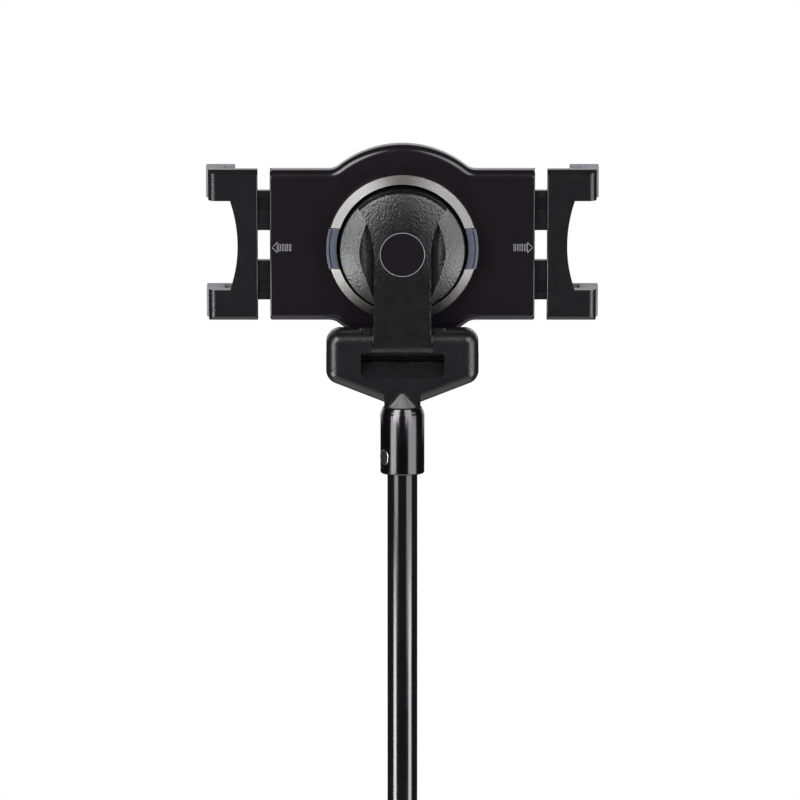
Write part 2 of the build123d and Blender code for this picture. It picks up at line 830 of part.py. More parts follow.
def tilt_arm():
    disc = rod_y(dome_radius, strut_near, dome_sunk)
    disc &= Pos(0, lobe_radius - lobe_height(0), 0) * Sphere(lobe_radius)
    rim = [
        edge for edge in disc.edges()
        if abs(edge.center().Y + dome_rim_proud) < running_gap
    ]
    disc = fillet(rim, dome_rim_round)
    scoop = lobe_scoop()
    disc -= scoop + mirror(scoop, Plane.YZ)
    strut = block(
        -strut_half_width, strut_half_width, strut_near, strut_far, -ring_above_axis, -crown_fade
    )
    upright_edges = strut.edges().filter_by(Axis.Z)
    strut = chamfer(upright_edges, strut_edge_chamfer)
    barrel = rod_x(
        barrel_radius, -barrel_half_width, barrel_half_width, -axis_before_ring, -ring_above_axis
    )
    arm = disc + crowned_head() + easing_neck() + strut + barrel
    arm += rod_y(swivel_boss_radius, 0, housing_near)
    arm -= rod_x(
        axle_radius + running_gap, -window_half_width, window_half_width,
        -axis_before_ring, -ring_above_axis,
    )
    badge_floor = strut_near + badge_thickness - badge_proud
    arm -= rod_y(badge_radius + badge_gap, strut_near - overrun, badge_floor)
    bolt_start = dome_sunk - swivel_bolt_reach
    return arm - rod_y(swivel_bolt_radius, bolt_start, housing_near + overrun)


def holder_place():
    # The holder's origin is the ring's centre at its near face.
    slope = radians(tilt_rest)
    y = axis_depth - ring_above_axis * sin(slope) + axis_before_ring * cos(slope)
    z = neck_z + axis_height + ring_above_axis * cos(slope) + axis_before_ring * sin(slope)
    return Pos(0, y, z) * Rot(tilt_rest, 0, 0)


def make_arm():
    place = holder_place()
    save("tilt_arm", place * tilt_arm())
    badge_near = strut_near - badge_proud
    badge = rod_y(badge_radius, badge_near, badge_near + badge_thickness)
    badge = chamfer(badge.edges().group_by(Axis.Y)[0], badge_proud)
    save("arm_badge", place * badge)
    washer_far = cover_inner + swivel_washer_thickness
    bolt = rod_y(swivel_bolt_radius, dome_sunk - swivel_bolt_reach, washer_far)
    head_far = washer_far + swivel_head_length
    head = rod_y(swivel_head_radius, washer_far, head_far)
    head = fillet(head.edges().group_by(Axis.Y)[-1], swivel_head_length / 3)
    drive = cross_drive(swivel_head_radius, drive_slot_depth_share * swivel_head_length)
    save("swivel_bolt", place * (bolt + head - Pos(0, head_far, 0) * Rot(-90, 0, 0) * drive))
    washer = rod_y(swivel_washer_radius, cover_inner, washer_far)
    washer -= rod_y(swivel_bolt_radius + running_gap, housing_near, cover_far)
    save("swivel_washer", place * washer)


def housing_outline(inset):
    half_width = housing_half_width - inset
    half_height = housing_half_height - inset
    plate = Rectangle(2 * half_width, 2 * half_height)
    face = plate + Circle(bulge_radius - inset)
    bulge_joints = [
        corner for corner in face.vertices()
        if abs(corner.X) < bulge_radius and abs(corner.Y) > half_height - running_gap
    ]
    return fillet(bulge_joints, bulge_blend)


def tab_slot():
    inner = tab_foot_inner - tab_travel - tab_gap
    outer = tab_foot_inner + tab_foot_thickness + tab_gap
    half = tab_foot_half_height + tab_gap
    return block(inner, outer, 0, cover_far, -half, half)


def rear_cover():
    cover = depth_prism(housing_outline(0), housing_near, cover_far)
    inside_ends = housing_half_width - housing_end_chamfer
    near_edges = cover.faces().sort_by(Axis.Y)[0].edges()
    cover = fillet([edge for edge in near_edges if abs(edge.center().X) < inside_ends], housing_round)
    end_edges = [
        edge for edge in cover.edges()
        if abs(edge.center().X) > inside_ends and edge.center().Y < housing_near + housing_round / 2
    ]
    cover = chamfer(end_edges, housing_end_chamfer)
    cover -= depth_prism(housing_outline(cover_side_wall), cover_inner, cover_far + overrun)
    rib_z = rail_high + rail_gap
    rib = block(
        rail_guide_inner, housing_half_width - cover_side_wall, cover_inner, cover_far,
        rib_z, rib_z + guide_rib_thickness,
    )
    boss = rod_y(screw_boss_radius, cover_inner, cover_far, screw_boss_x, screw_boss_z)
    quarter = rib + boss
    half = quarter + mirror(quarter, Plane.XY)
    cover += half + mirror(half, Plane.YZ)
    low = rail_low - rail_gap
    high = rail_high + rail_gap
    opening = block(
        rail_full_inner, housing_half_width + overrun,
        rail_near - rail_gap, rail_far + rail_gap, low, high,
    )
    screw_hole = rod_y(
        screw_shank_radius, housing_far - screw_head_length - screw_reach, housing_far,
        screw_boss_x, screw_boss_z,
    )
    quarter = opening + screw_hole
    half = quarter + mirror(quarter, Plane.XY)
    cover -= half + mirror(half, Plane.YZ)
    cover -= rod_y(swivel_bolt_radius + running_gap, 0, cover_far)
    slot = tab_slot()
    return cover - slot - mirror(slot, Plane.YZ)


def front_plate():
    plate = depth_prism(housing_outline(0), cover_far, housing_far)
    plate = chamfer(plate.faces().sort_by(Axis.Y)[-1].edges(), front_plate_chamfer)
    plate += rod_y(pinion_axle_radius, rail_near, cover_far, pinion_x, 0)
    rib_outer = tab_foot_inner - spring_length
    rib = block(
        rib_outer - spring_rib_thickness, rib_outer, rail_near, cover_far,
        -tab_foot_half_height, tab_foot_half_height,
    )
    plate += rib + mirror(rib, Plane.YZ)
    for x in (-screw_boss_x, screw_boss_x):
        for z in (-screw_boss_z, screw_boss_z):
            plate -= rod_y(screw_shank_radius, cover_far - overrun, housing_far, x, z)
            plate -= rod_y(screw_head_radius, housing_far - screw_head_length, housing_far + overrun, x, z)
    return plate


def swivel_ring():
    ring = rod_y(ring_radius, 0, housing_near)
    near_edge = ring.edges().group_by(Axis.Y)[0]
    ring = chamfer(near_edge, ring_slope_depth, ring_band)
    slope_end = [edge for edge in ring.edges() if abs(edge.center().Y - ring_slope_depth) < running_gap]
    ring = fillet(slope_end, ring_round)
    ring -= rod_y(ring_inner, -overrun, housing_near + overrun)
    half = tab_half_height + tab_gap
    notch = block(0, ring_radius + overrun, -overrun, tab_floor, -half, half)
    cut = notch + tab_slot()
    return ring - cut - mirror(cut, Plane.YZ)


def release_tab():
    inner = ring_inner
    face = Circle(tab_outer) - Circle(inner)
    face &= Pos(tab_outer / 2, 0) * Rectangle(tab_outer, 2 * tab_half_height)
    tab = depth_prism(face, -tab_proud, tab_floor - running_gap)
    foot_outer = tab_foot_inner + tab_foot_thickness
    foot_block = block(
        tab_foot_inner, foot_outer, 0, cover_inner + tab_foot_reach,
        -tab_foot_half_height, tab_foot_half_height,
    )
    return tab + foot_block


def tab_spring():
    # A short coil between the plate's rib and the tab's foot.
    length = spring_length - 2 * tab_spring_wire
    path = Helix(length / tab_spring_turns, length, tab_spring_radius)
    start = path @ 0
    ring = Plane(origin=start, z_dir=path % 0) * Circle(tab_spring_wire)
    coil = sweep(ring, path=path)
    start_x = tab_foot_inner - spring_length + tab_spring_wire
    y = cover_inner + tab_foot_reach / 2
    return Pos(start_x, y, 0) * Rot(0, 90, 0) * coil


def grip_outline(inner, outer, half_height, shoulder, waist, lug_z):
    # The grip seen from behind, with the hollow between its two lugs.
    hollow = ThreePointArc((shoulder, -lug_z), (waist, 0), (shoulder, lug_z))
    upper = Polyline((shoulder, lug_z), (outer, lug_z), (outer, half_height), (inner, half_height))
    lower = Polyline(
        (inner, half_height), (inner, -half_height), (outer, -half_height),
        (outer, -lug_z), (shoulder, -lug_z),
    )
    return make_face(hollow + upper + lower)


def rack_teeth(mesh_x, x_low, x_high):
    # Teeth that point down from the rack's pitch line, with a gap at mesh_x.
    lean = tan(radians(pressure_angle))
    half = tooth_pitch / 4 - tooth_backlash / 2
    tip = pitch_radius - addendum
    root = pitch_radius + dedendum
    tooth = outline([
        (-half - dedendum * lean, root + running_gap),
        (-half + addendum * lean, tip),
        (half - addendum * lean, tip),
        (half + dedendum * lean, root + running_gap),
    ])
    count = int((x_high - x_low) / tooth_pitch) + 1
    teeth = Part()
    for k in range(-count, count):
        x = mesh_x + (k + 0.5) * tooth_pitch
        if x_low + tooth_pitch / 2 <= x <= x_high - tooth_pitch / 2:
            teeth += depth_prism(Pos(x, 0) * tooth, rail_near, rail_far)
    return teeth


def rail(mesh_x):
    # The upper rail, with a rack that meets the pinion at mesh_x where that is given.
    bar = block(rail_full_inner, grip_inner + overrun, rail_near, rail_far, rail_low, rail_high)
    bar += block(
        rail_guide_inner, rail_full_inner + overrun, rail_near, rail_far, rail_guide_low, rail_high
    )
    if mesh_x is not None:
        low = pitch_radius + dedendum
        start = mesh_x - grip_travel_out - rack_run_out
        end = mesh_x + grip_travel_in + rack_run_out
        bar += block(start, rail_full_inner + overrun, rail_near, rail_far, low, rack_bar_high)
        bar += rack_teeth(mesh_x, start, end)
    floor = rail_near + rail_groove_depth
    return bar - block(
        rail_full_inner, grip_inner, rail_near - overrun, floor, rail_groove_low, rail_groove_high
    )


def grip_body(mesh_x):
    # The +X grip. Three profiles crossed give its wall, lugs and rounded edge.
    lug_far = grip_near + lug_reach
    outer = grip_outer - hook_stand_out
    corner = outer - grip_outer_round
    liner_face = tablet_half_width + jaw_liner
    bend = ThreePointArc(
        (corner, grip_near),
        (corner + grip_outer_round * sin(pi / 4), grip_near + grip_outer_round * (1 - cos(pi / 4))),
        (outer, grip_near + grip_outer_round),
    )
    edge = grip_edge_chamfer
    rest = Polyline(
        (outer, grip_near + grip_outer_round), (outer, lug_far), (liner_face, lug_far),
        (liner_face, grip_wall_far), (grip_inner, grip_wall_far), (grip_inner, grip_near + edge),
        (grip_inner + edge, grip_near), (corner, grip_near),
    )
    high = grip_half_height
    body = upright_prism(make_face(bend + rest), -high, high)
    body &= depth_prism(
        grip_outline(grip_inner, outer, high, cutout_shoulder, cutout_waist, lug_inner_height),
        grip_near, lug_far,
    )
    cut = grip_end_chamfer
    body &= side_prism(
        outline([
            (grip_near, cut - high), (grip_near + cut, -high), (lug_far, -high),
            (lug_far, high), (grip_near + cut, high), (grip_near, high - cut),
        ]),
        grip_inner, outer,
    )
    return body + rail(mesh_x) + mirror(rail(None), Plane.XY)


def grip_jaws():
    # The two hooks of the +X grip: a liner beside the tablet and a lip over it.
    lug_far = grip_near + lug_reach
    liner_face = tablet_half_width + jaw_liner
    lip_inner = tablet_half_width - hook_reach
    face = outline([
        (tablet_half_width, grip_wall_far), (liner_face, grip_wall_far), (liner_face, lug_far),
        (grip_outer, lug_far), (grip_outer, hook_far), (lip_inner, hook_far),
        (lip_inner, lip_face), (tablet_half_width, lip_face),
    ])
    far_corners = face.vertices().group_by(Axis.Y)[-1]
    face = fillet(far_corners, hook_edge_round)
    jaw = upright_prism(face, lug_inner_height, grip_half_height)
    return jaw + mirror(jaw, Plane.XY)


def grip_pad():
    # A ribbed strip under the tablet, glued to the grip's wall.
    base_face = grip_wall_far + pad_base
    points = [(pad_inner, grip_wall_far), (pad_inner, base_face)]
    count = int((pad_outer - pad_inner) / pad_rib_pitch)
    for k in range(count):
        x = pad_inner + k * pad_rib_pitch
        points += [(x + pad_rib_pitch / 2, pad_face), (x + pad_rib_pitch, base_face)]
    points.append((points[-1][0], grip_wall_far))
    strip = upright_prism(outline(points), -grip_half_height, grip_half_height)
    limit = grip_outline(
        pad_inner, pad_outer, grip_half_height - pad_inset,
        cutout_shoulder - pad_inset, cutout_waist - pad_inset, lug_inner_height + pad_inset,
    )
    return strip & depth_prism(limit, grip_wall_far, pad_face)


def pinion():
    lean = tan(radians(pressure_angle))
    half = tooth_pitch / 4 - tooth_backlash / 2
    root = pitch_radius - dedendum
    tip = pitch_radius + addendum
    face = Circle(root)
    tooth = outline([
        (root - overrun, -half - dedendum * lean),
        (root - overrun, half + dedendum * lean),
        (root, half + dedendum * lean),
        (tip, half - addendum * lean),
        (tip, addendum * lean - half),
        (root, -half - dedendum * lean),
    ])
    for k in range(pinion_teeth):
        face += Rot(0, 0, 360 * k / pinion_teeth) * tooth
    face -= Circle(pinion_axle_radius + running_gap)
    gear = depth_prism(face, rail_near + running_gap, rail_far - running_gap)
    return Pos(pinion_x, 0, 0) * gear


def make_holder():
    place = holder_place()
    save("housing_rear_cover", place * rear_cover())
    save("housing_front_plate", place * front_plate())
    screws = Part()
    for x in (-screw_boss_x, screw_boss_x):
        for z in (-screw_boss_z, screw_boss_z):
            screws += Pos(x, housing_far, z) * plate_screw(screw_reach)
    save("housing_screws", place * screws)
    save("swivel_ring", place * swivel_ring())
    save("sync_pinion", place * pinion())
    tab = release_tab()
    spring = tab_spring()
    save("release_tab_right", place * tab)
    save("release_tab_left", place * Rot(0, 180, 0) * tab)
    spring_pair = (("right", Rot(0, 0, 0)), ("left", Rot(0, 180, 0)))
    for side, turn in spring_pair:
        save(f"tab_spring_{side}", place * turn * spring)
    half_turn = Rot(0, 180, 0)
    save("grip_right", place * grip_body(pinion_x))
    save("grip_left", place * half_turn * grip_body(-pinion_x))
    for side, turn in spring_pair:
        save(f"grip_{side}_jaws", place * turn * grip_jaws())
        save(f"grip_{side}_pad", place * turn * grip_pad())


make_tripod()
make_pole()
make_neck()
make_arm()
make_holder()
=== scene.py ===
"""Looks of the adjustable tablet floor stand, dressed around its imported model."""

import json
import math

import bmesh
import bpy
from bpy.props import FloatProperty, FloatVectorProperty, PointerProperty
from mathutils import Matrix, Vector


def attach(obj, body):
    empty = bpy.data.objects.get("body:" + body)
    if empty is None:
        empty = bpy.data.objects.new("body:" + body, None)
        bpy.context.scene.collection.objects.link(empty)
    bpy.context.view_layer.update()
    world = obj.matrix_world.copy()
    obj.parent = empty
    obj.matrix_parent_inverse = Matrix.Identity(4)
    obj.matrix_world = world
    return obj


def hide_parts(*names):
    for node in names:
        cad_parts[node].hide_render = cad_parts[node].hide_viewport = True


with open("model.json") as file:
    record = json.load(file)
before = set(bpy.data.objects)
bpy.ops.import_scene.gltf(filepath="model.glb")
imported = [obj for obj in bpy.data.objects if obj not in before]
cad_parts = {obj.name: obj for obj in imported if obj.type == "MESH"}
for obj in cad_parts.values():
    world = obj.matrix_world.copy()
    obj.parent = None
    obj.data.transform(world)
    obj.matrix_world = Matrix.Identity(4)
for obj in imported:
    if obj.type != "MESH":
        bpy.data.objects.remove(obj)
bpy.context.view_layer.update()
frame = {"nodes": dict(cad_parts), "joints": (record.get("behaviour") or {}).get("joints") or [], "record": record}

bl_info = {
    "name": "Tablet floor stand",
    "version": (1, 0, 0),
    "blender": (4, 5, 0),
    "location": "View3D > Sidebar > Stand",
    "description": "Models the outer pieces of a tablet floor stand and gives it its finishes",
    "category": "Object",
}

MM = 0.001
QUARTER_TURN = math.pi / 2
HALF_TURN = math.pi
FULL_TURN = 2 * math.pi
SAME_PLACE = 0.002 * MM
FINE_EDGE = 0.12 * MM


# ---------------------------------------------------------------- sizes and colours

def length(name, description, default):
    return FloatProperty(name=name, description=description, default=default, unit="LENGTH")


def angle(name, description, degrees):
    return FloatProperty(
        name=name, description=description, default=math.radians(degrees), subtype="ANGLE"
    )


def colour(name, description, default):
    return FloatVectorProperty(
        name=name, description=description, default=default, subtype="COLOR", size=3, min=0, max=1
    )


class StandSizes(bpy.types.PropertyGroup):
    """Sizes of the pieces that are modelled here"""

    sleeve_radius: length("Sleeve radius", "Outer radius of the neck sleeve", 11.0 * MM)
    sleeve_bore: length("Sleeve bore", "Inner radius of the neck sleeve", 9.38 * MM)
    sleeve_length: length("Sleeve length", "Height of the neck sleeve", 33.5 * MM)
    sleeve_shoulder: length("Sleeve shoulder", "Height of the sleeve's sloping shoulder", 3.2 * MM)
    screw_below: length(
        "Screw below rim", "Depth of the clamp screw below the sleeve's rim", 25.0 * MM
    )
    screw_recess: length(
        "Screw recess", "Radius of the hole that the clamp screw sits in", 4.65 * MM
    )
    tab_inner: length("Tab inner radius", "Inner radius of the two tabs", 32.9 * MM)
    tab_outer: length("Tab outer radius", "Outer radius of the two tabs", 38.1 * MM)
    tab_half: length("Tab half height", "Half the height of the two tabs", 10.2 * MM)
    tab_near: length("Tab face", "How far the tabs stand in front of the ring", 0.8 * MM)
    tab_floor: length("Tab floor", "Depth of the tabs behind the ring's face", 4.94 * MM)
    tablet_half: length(
        "Tablet half width", "From the middle to the hooks' inner faces", 89.25 * MM
    )
    grip_outer: length("Grip outer edge", "From the middle to the hooks' outer faces", 98.6 * MM)
    grip_half: length("Grip half height", "Half the height of a grip", 38.5 * MM)
    lug_inner: length("Lug inner edge", "Height at which a grip's lug starts", 22.8 * MM)
    wall_far: length("Grip wall", "Depth of the grip's wall that carries the pad", 13.5 * MM)
    lug_far: length("Lug depth", "Depth at which a lug ends and its hook starts", 17.0 * MM)
    lip_near: length("Lip near face", "Depth of the hook's lip in front of the tablet", 22.5 * MM)
    hook_far: length("Hook depth", "Depth at which the hook ends", 26.0 * MM)
    lip_inner: length(
        "Lip inner edge", "From the middle to the edge of the hook's lip", 84.05 * MM
    )
    liner: length("Liner", "Thickness of the rubber beside the tablet", 3.0 * MM)
    pad_inner: length("Pad inner edge", "From the middle to the pad's inner edge", 73.8 * MM)
    pad_outer: length("Pad outer edge", "From the middle to the pad's outer edge", 87.0 * MM)
    pad_base: length("Pad base", "Thickness of the pad under its ribs", 1.0 * MM)
    pad_rib: length("Pad rib", "Height of the pad's ribs above its base", 1.0 * MM)
    pad_pitch: length("Rib pitch", "From one rib of the pad to the next", 1.46 * MM)
    pad_shoulder: length("Pad shoulder", "Where the pad's hollow starts", 85.7 * MM)
    pad_waist: length("Pad waist", "The narrowest place of the pad's hollow", 82.0 * MM)
    leg_length: length("Leg length", "From a leg's top pin to its end", 320.0 * MM)
    leg_pin_out: length("Leg pin circle", "From the pole's axis to a leg's top pin", 25.0 * MM)
    boot_depth: length("Boot depth", "Depth of a foot's boot across the leg", 17.0 * MM)
    boot_width: length("Boot width", "Width of a foot's boot", 21.0 * MM)
    boot_length: length("Boot length", "Length of a foot's boot along the leg", 34.0 * MM)
    sole_radius: length("Sole radius", "Radius of a foot's round sole", 12.98 * MM)
    sole_height: length("Sole height", "Height of a foot's round sole", 8.0 * MM)
    badge_radius: length("Badge radius", "Radius of the bare badge on the arm", 11.2 * MM)
    # The bright line round the badge is a painted highlight: a pale bead in place of the glint on the badge's
    # edge.
    badge_painted_highlight: length("Badge painted highlight", "Half thickness of the bright line round the badge", 0.14 * MM)
    arm_near: length("Arm face", "How far the arm's face stands in front of the ring", 13.5 * MM)
    mark_height: length("Mark height", "Height of the arrow marks on the housing", 5.2 * MM)
    mark_line: length("Mark line", "Width of the arrow marks' lines", 0.22 * MM)
    grip_inner: length("Grip inner edge", "From the middle to a grip's inner edge", 72.6 * MM)
    grip_near: length("Grip near face", "Depth of the grips' near faces behind the ring", 8.0 * MM)
    grip_round: length("Grip edge round", "Radius of a grip's inner near edge", 0.62 * MM)
    housing_half: length("Housing half width", "From the middle to the housing's ends", 66.4 * MM)
    housing_round: length(
        "Housing edge round", "Radius of the edges at the housing's ends", 0.72 * MM
    )
    housing_near: length("Housing face", "Depth of the housing's face behind the ring", 6.5 * MM)


class StandAngles(bpy.types.PropertyGroup):
    """Angles of the pieces that are modelled here"""

    leg_spread: angle("Leg spread", "Angle between a leg and the pole when it stands open", 57.0)
    screw_bearing: angle("Screw bearing", "Bearing of the clamp screw round the sleeve", 208.0)


class StandColours(bpy.types.PropertyGroup):
    """Colours of the finishes, as they are in plain light"""

    lacquer: colour("Lacquer", "Gloss black paint of the tubes and legs", (0.004, 0.004, 0.0045))
    moulding: colour("Satin moulding", "Fine-grained black plastic", (0.0072, 0.0066, 0.0074))
    grain: colour(
        "Grained moulding", "Leather-grained black plastic of the arm", (0.003, 0.003, 0.0032)
    )
    shell: colour("Shell", "Smooth black plastic of the holder", (0.0078, 0.0066, 0.0080))
    sleeve: colour("Sleeve", "Polished dark metal of the neck sleeve", (0.105, 0.102, 0.105))
    steel: colour("Steel", "Turned steel of the cone, pins and screws", (0.46, 0.455, 0.45))
    cone: colour("Cone", "Bright turned steel of the cone in the pole's top", (0.85, 0.84, 0.83))
    ring: colour("Ring", "Grey ring between the arm and the holder", (0.21, 0.205, 0.20))
    tab: colour("Tab", "Smoky blue plastic of the two tabs", (0.11, 0.118, 0.158))
    hook: colour("Hook", "Grey rubber of the hooks", (0.25, 0.25, 0.285))
    rubber: colour("Rubber", "Black rubber of the pads and feet", (0.016, 0.016, 0.017))
    nylon: colour("Nylon", "Grey nylon of the guide bushes", (0.16, 0.16, 0.165))
    # This pale colour also paints the highlight round the badge.
    ink_and_painted_highlight: colour("Print", "Pale ink of the arrow marks", (0.30, 0.30, 0.31))


# ---------------------------------------------------------------- modelling by hand

def begin():
    """Leaves edit mode and deselects everything, ready for a new primitive."""
    if bpy.context.object and bpy.context.object.mode != "OBJECT":
        bpy.ops.object.mode_set(mode="OBJECT")
    bpy.ops.object.select_all(action="DESELECT")


def only(piece):
    """Makes one piece the whole selection."""
    begin()
    piece.select_set(True)
    bpy.context.view_layer.objects.active = piece


def open_mesh(piece):
    """Opens a piece in edit mode with all of its mesh selected."""
    only(piece)
    bpy.ops.object.mode_set(mode="EDIT")
    bpy.ops.mesh.select_all(action="SELECT")


def close_mesh():
    """Goes back to object mode."""
    bpy.ops.object.mode_set(mode="OBJECT")


def named(name):
    """Names the primitive that was just added."""
    piece = bpy.context.object
    piece.name = name
    piece.data.name = name
    return piece


def settle(piece, matrix=None):
    """Puts the piece in place and moves that place into its mesh."""
    if matrix is not None:
        piece.matrix_world = matrix @ piece.matrix_world
    only(piece)
    bpy.ops.object.transform_apply(location=True, rotation=True, scale=True)
    return piece


def choose(piece, kind, test):
    """Selects what passes a test on its place: faces, or else edges, in edit mode."""
    bpy.ops.mesh.select_mode(type=kind)
    bpy.ops.mesh.select_all(action="DESELECT")
    shape = bmesh.from_edit_mesh(piece.data)
    if kind == "FACE":
        for face in shape.faces:
            face.select_set(bool(test(face.calc_center_median(), face.normal)))
    else:
        for edge in shape.edges:
            edge.select_set(bool(test(edge.verts[0].co, edge.verts[1].co)))
    bmesh.update_edit_mesh(piece.data)


def modify(piece, kind, **settings):
    """Adds a modifier and applies it at once."""
    only(piece)
    modifier = piece.modifiers.new(kind.title(), kind)
    for key, value in settings.items():
        setattr(modifier, key, value)
    bpy.ops.object.modifier_apply(modifier=modifier.name)
    return piece


def clean(piece):
    """Merges doubled points and turns every face outwards."""
    open_mesh(piece)
    bpy.ops.mesh.remove_doubles(threshold=SAME_PLACE)
    bpy.ops.mesh.normals_make_consistent(inside=False)
    close_mesh()
    return piece


def smooth(piece, degrees=38):
    """Shades a piece smooth, but not across edges sharper than the angle."""
    only(piece)
    bpy.ops.object.shade_smooth_by_angle(angle=math.radians(degrees))
    return piece


def soften(piece, width, segments=3, degrees=35):
    """Rounds the edges that are sharper than the angle."""
    return modify(
        piece, "BEVEL", width=width, segments=segments, limit_method="ANGLE",
        angle_limit=math.radians(degrees), harden_normals=False,
    )


def draw_line(name, points, close=False):
    """Starts from one point and extrudes it along a line, as when tracing an outline."""
    begin()
    bpy.ops.mesh.primitive_plane_add(size=MM)
    piece = named(name)
    bpy.ops.object.mode_set(mode="EDIT")
    bpy.ops.mesh.select_mode(type="VERT")
    bpy.ops.mesh.select_all(action="SELECT")
    bpy.ops.mesh.merge(type="CENTER")
    bpy.ops.mesh.select_all(action="SELECT")
    bpy.ops.transform.translate(value=points[0])
    for here, there in zip(points, points[1:]):
        step = Vector(there) - Vector(here)
        bpy.ops.mesh.extrude_region_move(TRANSFORM_OT_translate={"value": step})
    if close:
        bpy.ops.mesh.select_all(action="SELECT")
        bpy.ops.mesh.edge_face_add()
    close_mesh()
    return piece


def corner_points(radius, height, steps):
    """Points of a profile near a corner, each given in mm inwards and upwards from it."""
    return [(radius - inward * MM, height + upward * MM) for inward, upward in steps]


def spun(piece, steps, angle, axis):
    """Spins the whole outline round an axis through the origin."""
    open_mesh(piece)
    bpy.ops.mesh.spin(steps=steps, angle=angle, center=(0, 0, 0), axis=axis)
    close_mesh()
    return piece


def turned(name, profile, steps=96):
    """Spins a profile of (radius, height) pairs round the Z axis."""
    piece = draw_line(name, [(radius, 0, height) for radius, height in profile])
    return clean(spun(piece, steps, FULL_TURN, (0, 0, 1)))


def extruded(piece, step):
    """Extrudes a filled outline by a step, so that it becomes a solid."""
    open_mesh(piece)
    bpy.ops.mesh.extrude_region_move(TRANSFORM_OT_translate={"value": step})
    close_mesh()
    return clean(piece)


def bisected(piece, place, normal, **settings):
    """Cuts through the whole mesh along a plane."""
    open_mesh(piece)
    bpy.ops.mesh.bisect(plane_co=place, plane_no=normal, **settings)
    close_mesh()
    return piece


def joined(pieces, name):
    """Joins pieces into the first one."""
    begin()
    for piece in pieces:
        piece.select_set(True)
    bpy.context.view_layer.objects.active = pieces[0]
    bpy.ops.object.join()
    return named(name)


def copy_of(piece, name, matrix):
    """A copy with its own mesh, in another place."""
    only(piece)
    bpy.ops.object.duplicate()
    return settle(named(name), matrix)


def on_both_sides(piece, left_name, right_name):
    """A piece of the holder's right side set in place, and its turned copy on the left."""
    left = copy_of(piece, left_name, holder_matrix() @ Matrix.Rotation(HALF_TURN, 4, "Y"))
    settle(piece, holder_matrix())
    piece.name = right_name
    return left, piece


def cut_away(piece, cutter):
    """Takes one shape out of another and drops the cutter."""
    modify(piece, "BOOLEAN", operation="DIFFERENCE", solver="EXACT", object=cutter)
    bpy.data.objects.remove(cutter)
    return piece


def bevel_edges(piece, width, segments, test):
    """Rounds the edges whose two ends pass a test."""
    open_mesh(piece)
    choose(piece, "EDGE", test)
    bpy.ops.mesh.bevel(offset=width, segments=segments, affect="EDGES")
    close_mesh()
    return clean(piece)


def frame_joint(name):
    """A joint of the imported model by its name."""
    return [joint for joint in frame["joints"] if joint["name"] == name][0]


def joint_place(name):
    """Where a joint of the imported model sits."""
    return Vector(frame_joint(name)["pos_m"])


def holder_matrix():
    """The holder's own frame: its origin in the ring's centre, tilted back as at rest."""
    swivel = frame_joint("swivel")
    tilt = math.atan2(swivel["axis"][2], swivel["axis"][1])
    return Matrix.Translation(Vector(swivel["pos_m"])) @ Matrix.Rotation(tilt, 4, "X")


# ---------------------------------------------------------------- finishes

def node_maker(tree):
    """A function that adds a node to the tree with its settings, values and links."""

    def node(kind, inputs=(), **settings):
        made = tree.nodes.new(kind)
        for key, value in settings.items():
            setattr(made, key, value)
        for key, value in dict(inputs).items():
            if isinstance(value, bpy.types.NodeSocket):
                tree.links.new(value, made.inputs[key])
            else:
                made.inputs[key].default_value = value
        return made

    return node


def blank_finish(name):
    """A new material with its shader, and a function that adds nodes to it."""
    material = bpy.data.materials.new(name)
    material.use_nodes = True
    tree = material.node_tree
    return material, tree, tree.nodes["Principled BSDF"], node_maker(tree)


def mottled(tree, shader, node, base, spread, scale, rough, rough_spread):
    """Base colour and roughness that drift a little over the surface."""
    place = node("ShaderNodeTexCoord").outputs["Object"]
    cloud = node("ShaderNodeTexNoise", {"Vector": place, "Scale": scale, "Detail": 4.0})
    drift = cloud.outputs["Fac"]
    low = [max(0.0, part * (1 - spread)) for part in base] + [1.0]
    high = [min(1.0, part * (1 + spread)) for part in base] + [1.0]
    tint = node("ShaderNodeMix", {"Factor": drift, "A": low, "B": high}, data_type="RGBA")
    tree.links.new(tint.outputs["Result"], shader.inputs["Base Color"])
    gloss = node("ShaderNodeMapRange", {
        "Value": drift, "From Min": 0.3, "From Max": 0.7,
        "To Min": rough - rough_spread, "To Max": rough + rough_spread,
    })
    tree.links.new(gloss.outputs["Result"], shader.inputs["Roughness"])
    return place


def add_bump(tree, shader, node, height, depth):
    """Fine relief of a given depth from a pattern's height."""
    bump = node("ShaderNodeBump", {"Height": height, "Distance": depth, "Strength": 1.0})
    tree.links.new(bump.outputs["Normal"], shader.inputs["Normal"])


def moulded(name, base, rough, grain_scale, grain_depth, specular=0.5, metallic=0.0):
    """Moulded plastic with a fine leather-like or spark-eroded grain."""
    material, tree, shader, node = blank_finish(name)
    place = mottled(tree, shader, node, base, 0.12, 140.0, rough, 0.02)
    cells = node(
        "ShaderNodeTexVoronoi", {"Vector": place, "Scale": grain_scale}, feature="SMOOTH_F1"
    )
    fine = node("ShaderNodeTexNoise", {
        "Vector": place, "Scale": grain_scale * 1.7, "Detail": 3.0,
    })
    height = node(
        "ShaderNodeMath", {0: cells.outputs["Distance"], 1: fine.outputs["Fac"]}, operation="ADD"
    )
    add_bump(tree, shader, node, height.outputs["Value"], grain_depth)
    shader.inputs["Specular IOR Level"].default_value = specular
    shader.inputs["Metallic"].default_value = metallic
    return material


def lacquered(name, base, rough):
    """Gloss paint with a faint orange peel."""
    material, tree, shader, node = blank_finish(name)
    place = mottled(tree, shader, node, base, 0.15, 45.0, rough, 0.03)
    peel = node("ShaderNodeTexNoise", {"Vector": place, "Scale": 420.0, "Detail": 2.0})
    add_bump(tree, shader, node, peel.outputs["Fac"], 0.01 * MM)
    shader.inputs["Specular IOR Level"].default_value = 1.0
    return material


